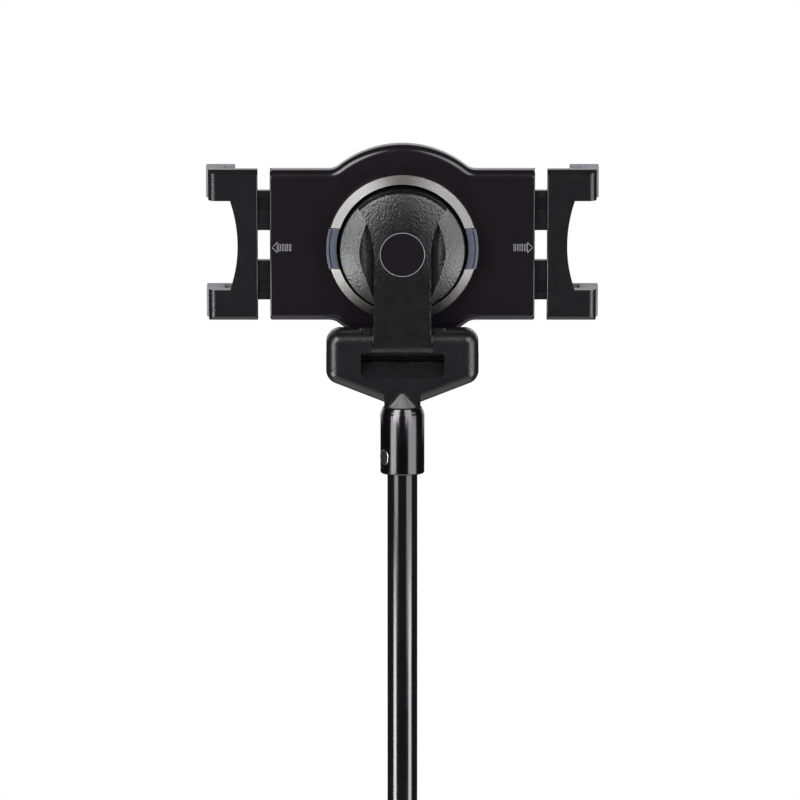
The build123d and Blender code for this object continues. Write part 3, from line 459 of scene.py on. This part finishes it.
def lathe_turned(name, base, rough, pitch, depth):
    """Metal with fine lines round the upright axis that it was turned on."""
    material, tree, shader, node = blank_finish(name)
    place = mottled(tree, shader, node, base, 0.08, 60.0, rough, 0.04)
    squeezed = node("ShaderNodeMapping", {"Vector": place, "Scale": (40, 40, 1 / pitch)})
    lines = node("ShaderNodeTexNoise", {
        "Vector": squeezed.outputs["Vector"], "Scale": 1.0, "Detail": 2.0,
    })
    add_bump(tree, shader, node, lines.outputs["Fac"], depth)
    shader.inputs["Metallic"].default_value = 1.0
    return material


def rubbery(name, base, rough, specular=0.35):
    """Dull rubber or ink with a pale bloom and tiny pits."""
    material, tree, shader, node = blank_finish(name)
    place = mottled(tree, shader, node, base, 0.3, 90.0, rough, 0.08)
    pits = node("ShaderNodeTexNoise", {"Vector": place, "Scale": 1500.0, "Detail": 3.0})
    add_bump(tree, shader, node, pits.outputs["Fac"], 0.03 * MM)
    shader.inputs["Specular IOR Level"].default_value = specular
    return material


def smoky(name, base, rough):
    """Half-clear tinted plastic."""
    material, tree, shader, node = blank_finish(name)
    mottled(tree, shader, node, base, 0.1, 120.0, rough, 0.03)
    shader.inputs["Transmission Weight"].default_value = 0.2
    shader.inputs["IOR"].default_value = 1.49
    shader.inputs["Coat Weight"].default_value = 0.3
    return material


def make_finishes(colours):
    """Every finish of the stand: the record's slots, and those of the arm, the cone, and the print that also
    paints the badge's highlight.
    """
    return {
        "gloss_black_tube": lacquered("Gloss black lacquer", colours.lacquer, 0.13),
        "satin_black_plastic": moulded(
            "Satin black moulding", colours.moulding, 0.27, 1100.0, 0.06 * MM, specular=0.8
        ),
        "grained": moulded(
            "Grained black moulding", colours.grain, 0.28, 900.0, 0.14 * MM, specular=1.0
        ),
        "gloss_black_plastic": moulded(
            "Smooth black shell", colours.shell, 0.20, 1500.0, 0.006 * MM, specular=0.7
        ),
        "dark_metal": lathe_turned(
            "Polished dark metal", colours.sleeve, 0.16, 0.6 * MM, 0.002 * MM
        ),
        "satin_steel": lathe_turned("Turned steel", colours.steel, 0.27, 0.4 * MM, 0.01 * MM),
        "cone_steel": lathe_turned("Turned cone", colours.cone, 0.38, 0.4 * MM, 0.01 * MM),
        "ring_grey": moulded(
            "Ring grey", colours.ring, 0.30, 1300.0, 0.05 * MM, metallic=1.0
        ),
        "tab_blue_grey": smoky("Smoky blue tab", colours.tab, 0.2),
        "jaw_grey": rubbery("Grey hook rubber", colours.hook, 0.5, specular=0.45),
        "pad_black": rubbery("Black pad rubber", colours.rubber, 0.55),
        "foot_black": rubbery("Black foot rubber", colours.rubber, 0.62),
        "bush_grey": moulded("Grey nylon", colours.nylon, 0.45, 1200.0, 0.02 * MM),
        # One pale finish for the printed arrow marks and for the painted highlight round the badge.
        "print_and_painted_highlight": rubbery("Pale print and painted highlight", colours.ink_and_painted_highlight, 0.5),
    }


def dress(piece, finish):
    """Gives a piece or a carried-over node one finish in all its slots."""
    if not piece.material_slots:
        piece.data.materials.append(finish)
    for slot in piece.material_slots:
        slot.material = finish
    return piece


def finish_piece(piece, body, slot, replaced=()):
    """Dresses a new piece, sets it on its body and hides the nodes it stands for."""
    dress(piece, FINISHES[slot])
    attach(piece, body)
    if replaced:
        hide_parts(*replaced)
    return piece


FINISHES = {}


# ---------------------------------------------------------------- the pieces

class STAND_OT_finishes(bpy.types.Operator):
    """Make the finishes and give each carried-over node its own"""

    bl_idname = "stand.finishes"
    bl_label = "Finishes"

    def execute(self, context):
        FINISHES.update(make_finishes(context.scene.stand_colours))
        for row in frame["record"]["subparts"]:
            dress(frame["nodes"][row["node"]], FINISHES[row["material_slot"]])
        dress(frame["nodes"]["tilt_arm"], FINISHES["grained"])
        dress(frame["nodes"]["pole_cone_plug"], FINISHES["cone_steel"])
        return {"FINISHED"}


class STAND_OT_neck_sleeve(bpy.types.Operator):
    """Turn the sleeve that clamps the neck to the pole, and bore its screw hole"""

    bl_idname = "stand.neck_sleeve"
    bl_label = "Neck sleeve"

    def execute(self, context):
        sizes, angles = context.scene.stand_sizes, context.scene.stand_angles
        outer, bore, low = sizes.sleeve_radius, sizes.sleeve_bore, -sizes.sleeve_length
        foot = ((0.9, 0.0), (0.35, 0.2), (0.0, 0.8))
        slope = ((0.0, -0.35), (0.28, 0.15), (0.45, 0.9), (0.75, 1.9), (1.1, 2.8))
        rim, mouth = ((1.35, -0.05),), ((-0.1, -0.02), (0.0, -0.2))
        profile = [(bore, low)] + corner_points(outer, low, foot)
        profile += corner_points(outer, -sizes.sleeve_shoulder, slope)
        profile += corner_points(outer, 0, rim) + corner_points(bore, 0, mouth) + [(bore, low)]
        sleeve = turned("sleeve_turned", profile, 160)
        drill_depth = 8 * MM
        begin()
        bpy.ops.mesh.primitive_cylinder_add(
            vertices=48, radius=sizes.screw_recess, depth=drill_depth,
            location=(outer, 0, -sizes.screw_below), rotation=(0, QUARTER_TURN, 0),
        )
        drill = settle(named("sleeve_drill"))
        settle(drill, Matrix.Rotation(angles.screw_bearing, 4, "Z"))
        cut_away(sleeve, drill)
        settle(sleeve, Matrix.Translation(joint_place("pan")))
        soften(sleeve, FINE_EDGE, 2, 40)
        smooth(sleeve, 30)
        finish_piece(sleeve, "neck", "dark_metal", ["neck_sleeve"])
        return {"FINISHED"}


class STAND_OT_release_tabs(bpy.types.Operator):
    """Shape the two thumb tabs in the ring, with their raised rims"""

    bl_idname = "stand.release_tabs"
    bl_label = "Release tabs"

    def execute(self, context):
        sizes = context.scene.stand_sizes
        inner, outer, half = sizes.tab_inner, sizes.tab_outer, sizes.tab_half
        near, floor = -sizes.tab_near, sizes.tab_floor
        lip, groove, groove_floor = outer - 1.3 * MM, outer - 1.95 * MM, near + 1.3 * MM
        profile = [
            (inner, floor), (inner, near + 0.3 * MM), (inner + 0.7 * MM, near + 0.1 * MM),
            (groove - 1.4 * MM, near + 0.5 * MM), (groove, near + 0.45 * MM),
            (groove + 0.1 * MM, groove_floor), (lip - 0.15 * MM, groove_floor),
            (lip, near + 0.1 * MM), (lip + 0.3 * MM, near), (outer - 0.4 * MM, near),
            (outer, near + 0.5 * MM), (outer, floor),
        ]
        tab = draw_line("tab_blank", [(x, y, 0) for x, y in profile], close=True)
        trim = 0.02
        reach = math.asin(half / inner) + trim
        spun(tab, 24, 2 * reach, (0, 1, 0))
        settle(tab, Matrix.Rotation(reach, 4, "Y"))
        for side in (-1, 1):
            bisected(tab, (0, 0, side * half), (0, 0, side), use_fill=True, clear_outer=True)
        clean(tab)
        soften(tab, FINE_EDGE, 2, 40)
        smooth(tab, 40)
        left, right = on_both_sides(tab, "tab_left", "tab_right")
        for piece, body in ((left, "release_tab_left"), (right, "release_tab_right")):
            finish_piece(piece, body, "tab_blue_grey", [body])
        return {"FINISHED"}


class STAND_OT_hooks(bpy.types.Operator):
    """Mould the rubber hooks that hold the tablet's edge"""

    bl_idname = "stand.hooks"
    bl_label = "Hooks"

    def execute(self, context):
        sizes = context.scene.stand_sizes
        tablet, liner = sizes.tablet_half, sizes.tablet_half + sizes.liner
        outer, lip = sizes.grip_outer, sizes.lip_inner
        corners = [
            (tablet, sizes.wall_far), (liner, sizes.wall_far), (liner, sizes.lug_far),
            (outer, sizes.lug_far), (outer, sizes.hook_far), (lip, sizes.hook_far),
            (lip, sizes.lip_near), (tablet, sizes.lip_near),
        ]
        upper = draw_line("hook_upper", [(x, y, sizes.lug_inner) for x, y in corners], close=True)
        extruded(upper, (0, 0, sizes.grip_half - sizes.lug_inner))
        far_round, edge_round = 1.3 * MM, 0.35 * MM
        far = sizes.hook_far - 0.1 * MM
        bevel_edges(upper, far_round, 4, lambda a, b: a.y > far and b.y > far)
        soften(upper, edge_round, 3, 40)
        lower = copy_of(upper, "hook_lower", Matrix.Scale(-1, 4, (0, 0, 1)))
        clean(lower)
        both = smooth(joined([upper, lower], "hooks_right"), 40)
        left, right = on_both_sides(both, "hooks_left", "hooks_right")
        finish_piece(left, "grip_left", "jaw_grey", ["grip_left_jaws"])
        finish_piece(right, "grip_right", "jaw_grey", ["grip_right_jaws"])
        return {"FINISHED"}


class STAND_OT_pads(bpy.types.Operator):
    """Mould the ribbed rubber strips that the tablet rests on"""

    bl_idname = "stand.pads"
    bl_label = "Ribbed pads"

    def execute(self, context):
        sizes = context.scene.stand_sizes
        wall, base, inset = sizes.wall_far, sizes.wall_far + sizes.pad_base, 0.7 * MM
        high, crest = sizes.grip_half - inset, base + sizes.pad_rib
        side = crest - 0.08 * MM
        rib = ((0.36, side), (0.5, crest), (0.64, side), (1.0, base))
        points = [(sizes.pad_inner, wall), (sizes.pad_inner, base)]
        for count in range(int((sizes.pad_outer - sizes.pad_inner) / sizes.pad_pitch)):
            start = sizes.pad_inner + count * sizes.pad_pitch
            points += [(start + share * sizes.pad_pitch, height) for share, height in rib]
        points.append((points[-1][0], wall))
        strip = draw_line("pad_strip", [(x, y, -high) for x, y in points], close=True)
        extruded(strip, (0, 0, 2 * high))
        hollow = sizes.lug_inner + inset
        sag = sizes.pad_shoulder - sizes.pad_waist
        radius = (hollow ** 2 + sag ** 2) / (2 * sag)
        steps = 12
        turns = [math.asin(hollow / radius) * k / steps for k in range(-steps, steps + 1)]
        arc = [
            (sizes.pad_waist + radius - radius * math.cos(turn), radius * math.sin(turn))
            for turn in turns
        ]
        edge, cut_depth = sizes.pad_outer + MM, 4 * MM
        outline = arc + [(edge, hollow), (edge, -hollow)]
        cutter = draw_line("pad_hollow", [(x, 0, z) for x, z in outline], close=True)
        extruded(cutter, (0, cut_depth, 0))
        settle(cutter, Matrix.Translation((0, wall - MM, 0)))
        cut_away(strip, cutter)
        smooth(strip, 30)
        left, right = on_both_sides(strip, "pad_left", "pad_right")
        finish_piece(left, "grip_left", "pad_black", ["grip_left_pad"])
        finish_piece(right, "grip_right", "pad_black", ["grip_right_pad"])
        return {"FINISHED"}


class STAND_OT_feet(bpy.types.Operator):
    """Mould the three rubber feet: a grooved boot on the leg's end and a round sole"""

    bl_idname = "stand.feet"
    bl_label = "Feet"

    def execute(self, context):
        sizes, angles = context.scene.stand_sizes, context.scene.stand_angles
        first = joined([make_boot(sizes, angles), make_sole(sizes, angles)], "foot_blank")
        smooth(first, 35)
        for count in (1, 2, 3):
            bearing = math.radians(90.0 + 120.0 * (count - 1))
            foot = copy_of(first, "rubber_foot_%d" % count, Matrix.Rotation(bearing, 4, "Z"))
            finish_piece(foot, "leg_%d" % count, "foot_black", ["foot_%d" % count])
        bpy.data.objects.remove(first)
        return {"FINISHED"}


def make_boot(sizes, angles):
    """The boot with its four grooves, on the end of a leg that stands along +X."""
    low = -sizes.leg_length - 2.5 * MM
    begin()
    bpy.ops.mesh.primitive_cube_add(size=1, location=(0, 0, low + sizes.boot_length / 2))
    boot = named("foot_boot")
    boot.scale = (sizes.boot_depth, sizes.boot_width, sizes.boot_length)
    settle(boot)
    groove_width, groove_depth = 1.2 * MM, 0.55 * MM
    for level in (17.0 * MM, 20.0 * MM, 23.0 * MM, 26.0 * MM):
        for height in (level, level + groove_width):
            bisected(boot, (0, 0, low + height), (0, 0, 1))
        middle = low + level + groove_width / 2
        open_mesh(boot)
        choose(boot, "FACE", lambda place, normal: (
            abs(place.z - middle) < groove_width / 4 and abs(normal.z) < 0.5
        ))
        bpy.ops.mesh.extrude_region_shrink_fatten(
            TRANSFORM_OT_shrink_fatten={"value": -groove_depth, "use_even_offset": True}
        )
        close_mesh()
    clean(boot)
    corner = 7 * MM
    bevel_edges(boot, 1.2 * MM, 4, lambda a, b: (
        abs(a.x) > corner and abs(b.x) > corner and abs(a.y) > corner and abs(b.y) > corner
        and abs(a.z - b.z) > 0.1 * MM
    ))
    soften(boot, 0.25 * MM, 2, 50)
    top_pin = frame_joint("leg_slider_level")["pos_m"][2]
    lean = Matrix.Translation((sizes.leg_pin_out, 0, top_pin))
    return settle(boot, lean @ Matrix.Rotation(-angles.leg_spread, 4, "Y"))


def make_sole(sizes, angles):
    """The round sole with the groove round it, under the same leg's end."""
    radius, height = sizes.sole_radius, sizes.sole_height
    tread = ((3.2, 0.35), (2.6, 0.0), (1.3, 0.0), (0.4, 0.45), (0.0, 1.4))
    groove = ((0.0, 3.0), (0.6, 3.4), (0.6, 4.4), (0.0, 4.8))
    top = ((0.0, -1.4), (0.4, -0.45), (1.4, 0.0))
    profile = [(0, 0.35 * MM)] + corner_points(radius, 0, tread + groove)
    profile += corner_points(radius, height, top) + [(0, height)]
    reach = sizes.leg_pin_out + sizes.leg_length * math.sin(angles.leg_spread)
    return settle(turned("foot_sole", profile, 72), Matrix.Translation((reach, 0, 0)))


class STAND_OT_edge_rounds(bpy.types.Operator):
    """Round the small upright edges of the grips and of the housing"""

    bl_idname = "stand.edge_rounds"
    bl_label = "Edge rounds"

    def execute(self, context):
        sizes = context.scene.stand_sizes
        grip_row = (sizes.grip_inner, sizes.grip_near, sizes.grip_round, 1)
        housing_row = (sizes.housing_half, sizes.housing_near, sizes.housing_round, -1)
        end_gap = 2.4 * MM
        for name, body, side, (edge, near, radius, inward) in (
            ("grip_edge_left", "grip_left", -1, grip_row),
            ("grip_edge_right", "grip_right", 1, grip_row),
            ("housing_edge_left", "holder", -1, housing_row),
            ("housing_edge_right", "holder", 1, housing_row),
        ):
            begin()
            bpy.ops.mesh.primitive_cylinder_add(
                vertices=32, radius=radius, depth=2 * (sizes.grip_half - end_gap),
                location=(side * (edge + inward * radius), near + radius, 0),
            )
            piece = settle(named(name))
            soften(piece, radius / 2, 3, 60)
            settle(piece, holder_matrix())
            smooth(piece, 40)
            dress(piece, FINISHES["gloss_black_tube"])
            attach(piece, body)
        return {"FINISHED"}


class STAND_OT_badge_painted_highlight(bpy.types.Operator):
    """Ring the bare badge with a painted highlight: a thin pale bead that stands for the glint on its edge"""

    bl_idname = "stand.badge_rim"
    bl_label = "Badge painted highlight"

    def execute(self, context):
        sizes = context.scene.stand_sizes
        middle, half, stand_out = sizes.badge_radius - sizes.badge_painted_highlight, sizes.badge_painted_highlight, 0.28 * MM
        around = [FULL_TURN * k / 12 for k in range(13)]
        piece = turned("badge_painted_highlight", [
            (middle + half * math.cos(turn), half * math.sin(turn)) for turn in around
        ], 128)
        place = Matrix.Translation((0, -sizes.arm_near - stand_out, 0))
        settle(piece, holder_matrix() @ place @ Matrix.Rotation(QUARTER_TURN, 4, "X"))
        smooth(piece)
        # The pale print finish paints the highlight that the badge's edge would catch.
        dress(piece, FINISHES["print_and_painted_highlight"])
        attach(piece, "arm")
        return {"FINISHED"}


class STAND_OT_arrow_marks(bpy.types.Operator):
    """Print the two arrow marks on the housing"""

    bl_idname = "stand.arrow_marks"
    bl_label = "Arrow marks"

    def execute(self, context):
        sizes = context.scene.stand_sizes
        strips = arrow_strips(sizes.mark_height / 2)
        line, thickness, drop = sizes.mark_line, 0.06 * MM, 0.6 * MM
        face = sizes.housing_near - thickness / 2
        for side, name in ((-1, "arrow_mark_left"), (1, "arrow_mark_right")):
            bars = []
            for start, end in strips:
                run, middle = Vector(end) - Vector(start), (Vector(start) + Vector(end)) / 2
                begin()
                bpy.ops.mesh.primitive_cube_add(size=1)
                bar = named(name)
                bar.scale = (run.length + line, thickness, line)
                settle(bar)
                place = Matrix.Translation((side * middle.x, face, middle.y - drop))
                turn = -side * math.atan2(run.y, run.x)
                bars.append(settle(bar, place @ Matrix.Rotation(turn, 4, "Y")))
            piece = settle(joined(bars, name), holder_matrix())
            dress(piece, FINISHES["print_and_painted_highlight"])
            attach(piece, "holder")
        return {"FINISHED"}


def arrow_strips(half):
    """The lines of a mark, from end to end: a triangle and four narrow boxes behind it."""
    tip, base = 65.3 * MM, 62.8 * MM
    strips = [
        ((tip, 0.0), (base, half)), ((base, half), (base, -half)), ((base, -half), (tip, 0.0)),
    ]
    first_box, box_pitch, box_width, high = 62.0 * MM, 1.75 * MM, 0.85 * MM, half * 0.64
    for count in range(4):
        outer = first_box - count * box_pitch
        inner = outer - box_width
        strips += [
            ((outer, high), (outer, -high)), ((inner, high), (inner, -high)),
            ((outer, high), (inner, high)), ((outer, -high), (inner, -high)),
        ]
    return strips


# ---------------------------------------------------------------- the stage

# name, place in metres, width and height in metres, power in watts
LAMPS = (
    ("Side softbox left", (-1.34, -1.20, 1.22), (0.95, 1.0), 10.5),
    ("Side softbox right", (1.48, -1.10, 1.16), (1.5, 1.1), 12.0),
    ("Upper softbox left", (-0.85, -1.25, 2.05), (0.95, 0.95), 16.0),
    ("Upper softbox right", (0.85, -1.25, 2.05), (1.1, 0.95), 11.0),
    ("Low softbox left", (-0.88, -0.52, 0.60), (0.45, 0.45), 5.4),
    ("Low softbox right", (0.90, -0.50, 0.60), (0.48, 0.45), 3.9),
)
LAMP_AIM = Vector((0, 0.01, 1.12))
WHITE = (1, 1, 1, 1)
DIM_FILL = (0.26, 0.26, 0.265, 1)
DARK_GLOSS = (0.03, 0.03, 0.032, 1)
FLOOR_RADIUS = 40.0
CAMERA_DISTANCE = 3.0
CAMERA_SIGHT = 0.4
CAMERA_SENSOR = 36.0


class STAND_OT_stage(bpy.types.Operator):
    """Set the floor, the lamps, the world and the camera"""

    bl_idname = "stand.stage"
    bl_label = "Stage"

    def execute(self, context):
        make_world(context.scene)
        make_floor()
        for row in LAMPS:
            make_lamp(*row)
        make_camera(context.scene)
        context.scene.view_settings.view_transform = "Standard"
        return {"FINISHED"}


def make_lamp(name, place, size, power):
    """A rectangular softbox that faces the head of the stand and isn't seen itself."""
    light = bpy.data.lights.new(name, "AREA")
    light.shape = "RECTANGLE"
    light.size, light.size_y = size
    light.energy = power
    lamp = bpy.data.objects.new(name, light)
    lamp.location = place
    lamp.rotation_euler = (LAMP_AIM - Vector(place)).to_track_quat("-Z", "Y").to_euler()
    lamp.visible_camera = False
    bpy.context.scene.collection.objects.link(lamp)


def seen_directly(node, path):
    """1 for rays that come straight from the camera or through clear plastic."""
    return node("ShaderNodeMath", {
        0: path.outputs["Is Camera Ray"], 1: path.outputs["Is Transmission Ray"],
    }, operation="MAXIMUM").outputs["Value"]


def make_world(scene):
    """White behind the stand, dark before it for gloss, and a soft grey fill elsewhere."""
    world = bpy.data.worlds.new("Studio")
    scene.world = world
    world.use_nodes = True
    world.node_tree.nodes.clear()
    node = node_maker(world.node_tree)
    white = node("ShaderNodeBackground", {"Color": WHITE})
    fill = node("ShaderNodeBackground", {"Color": DIM_FILL})
    dark = node("ShaderNodeBackground", {"Color": DARK_GLOSS})
    path = node("ShaderNodeLightPath")
    split = node("ShaderNodeSeparateXYZ", {
        "Vector": node("ShaderNodeTexCoord").outputs["Generated"],
    })
    behind = node("ShaderNodeMapRange", {
        "Value": split.outputs["Y"], "From Min": 0.55, "From Max": 0.8,
    })
    gloss = node("ShaderNodeMixShader", {
        "Fac": behind.outputs["Result"],
        1: dark.outputs["Background"], 2: white.outputs["Background"],
    })
    soft = node("ShaderNodeMixShader", {
        "Fac": path.outputs["Is Glossy Ray"],
        1: fill.outputs["Background"], 2: gloss.outputs["Shader"],
    })
    blend = node("ShaderNodeMixShader", {
        "Fac": seen_directly(node, path),
        1: soft.outputs["Shader"], 2: white.outputs["Background"],
    })
    node("ShaderNodeOutputWorld", {"Surface": blend.outputs["Shader"]})


def make_floor():
    """A wide pale floor with the stand's shadow, white far away and dark there for gloss."""
    begin()
    bpy.ops.mesh.primitive_circle_add(vertices=96, radius=FLOOR_RADIUS, fill_type="NGON")
    floor = named("floor")
    material, tree, shader, node = blank_finish("Pale floor")
    place = node("ShaderNodeTexCoord").outputs["Object"]
    cloud = node("ShaderNodeTexNoise", {"Vector": place, "Scale": 3.0, "Detail": 5.0})
    tint = node("ShaderNodeMix", {
        "Factor": cloud.outputs["Fac"], "A": (0.80, 0.80, 0.80, 1), "B": (0.84, 0.84, 0.84, 1),
    }, data_type="RGBA")
    tree.links.new(tint.outputs["Result"], shader.inputs["Base Color"])
    shader.inputs["Roughness"].default_value = 0.8
    shader.inputs["Specular IOR Level"].default_value = 0.1
    distance = node("ShaderNodeVectorMath", {0: place}, operation="LENGTH")
    far = node("ShaderNodeMapRange", {
        "Value": distance.outputs["Value"], "From Min": 0.4, "From Max": 1.5,
    }, interpolation_type="SMOOTHSTEP").outputs["Result"]
    path = node("ShaderNodeLightPath")
    surface = shader.outputs["BSDF"]
    for rays, shade in (
        (seen_directly(node, path), WHITE), (path.outputs["Is Glossy Ray"], DARK_GLOSS),
    ):
        glow = node("ShaderNodeEmission", {"Color": shade, "Strength": 1.0})
        factor = node("ShaderNodeMath", {0: far, 1: rays}, operation="MULTIPLY")
        surface = node("ShaderNodeMixShader", {
            "Fac": factor.outputs["Value"], 1: surface, 2: glow.outputs["Emission"],
        }).outputs["Shader"]
    tree.links.new(surface, tree.nodes["Material Output"].inputs["Surface"])
    dress(floor, material)


def make_camera(scene):
    """A long lens eight degrees above the sleeve's rim, as in the photograph."""
    elevation = math.radians(8.0)
    forward = Vector((0, math.cos(elevation), -math.sin(elevation)))
    up = Vector((0, math.sin(elevation), math.cos(elevation)))
    aim = joint_place("pan") + Vector((-1.2 * MM, 0, 0)) + up * 3.25 * MM
    camera = bpy.data.cameras.new("Camera")
    camera.sensor_width = CAMERA_SENSOR
    camera.lens = CAMERA_SENSOR * CAMERA_DISTANCE / CAMERA_SIGHT
    camera.clip_end = 100.0
    seat = bpy.data.objects.new("Camera", camera)
    seat.location = aim - forward * CAMERA_DISTANCE
    seat.rotation_euler = (QUARTER_TURN - elevation, 0, 0)
    scene.collection.objects.link(seat)
    scene.camera = seat


# ---------------------------------------------------------------- panel and registration

OPERATORS = (
    STAND_OT_finishes,
    STAND_OT_neck_sleeve,
    STAND_OT_release_tabs,
    STAND_OT_hooks,
    STAND_OT_pads,
    STAND_OT_feet,
    STAND_OT_edge_rounds,
    STAND_OT_badge_painted_highlight,
    STAND_OT_arrow_marks,
    STAND_OT_stage,
)


class STAND_PT_pieces(bpy.types.Panel):
    """Lists the steps that dress the stand"""

    bl_idname = "STAND_PT_pieces"
    bl_label = "Tablet floor stand"
    bl_space_type = "VIEW_3D"
    bl_region_type = "UI"
    bl_category = "Stand"

    def draw(self, context):
        for operator in OPERATORS:
            self.layout.operator(operator.bl_idname)
        scene = context.scene
        for group in (scene.stand_sizes, scene.stand_angles, scene.stand_colours):
            box = self.layout.box()
            for key in group.__annotations__:
                box.prop(group, key)


CLASSES = (StandSizes, StandAngles, StandColours) + OPERATORS + (STAND_PT_pieces,)


def register():
    for cls in CLASSES:
        bpy.utils.register_class(cls)
    bpy.types.Scene.stand_sizes = PointerProperty(type=StandSizes)
    bpy.types.Scene.stand_angles = PointerProperty(type=StandAngles)
    bpy.types.Scene.stand_colours = PointerProperty(type=StandColours)


def unregister():
    del bpy.types.Scene.stand_colours
    del bpy.types.Scene.stand_angles
    del bpy.types.Scene.stand_sizes
    for cls in reversed(CLASSES):
        bpy.utils.unregister_class(cls)


def main():
    register()
    for operator in OPERATORS:
        group, action = operator.bl_idname.split(".")
        getattr(getattr(bpy.ops, group), action)()


if __name__ == "__main__":
    main()
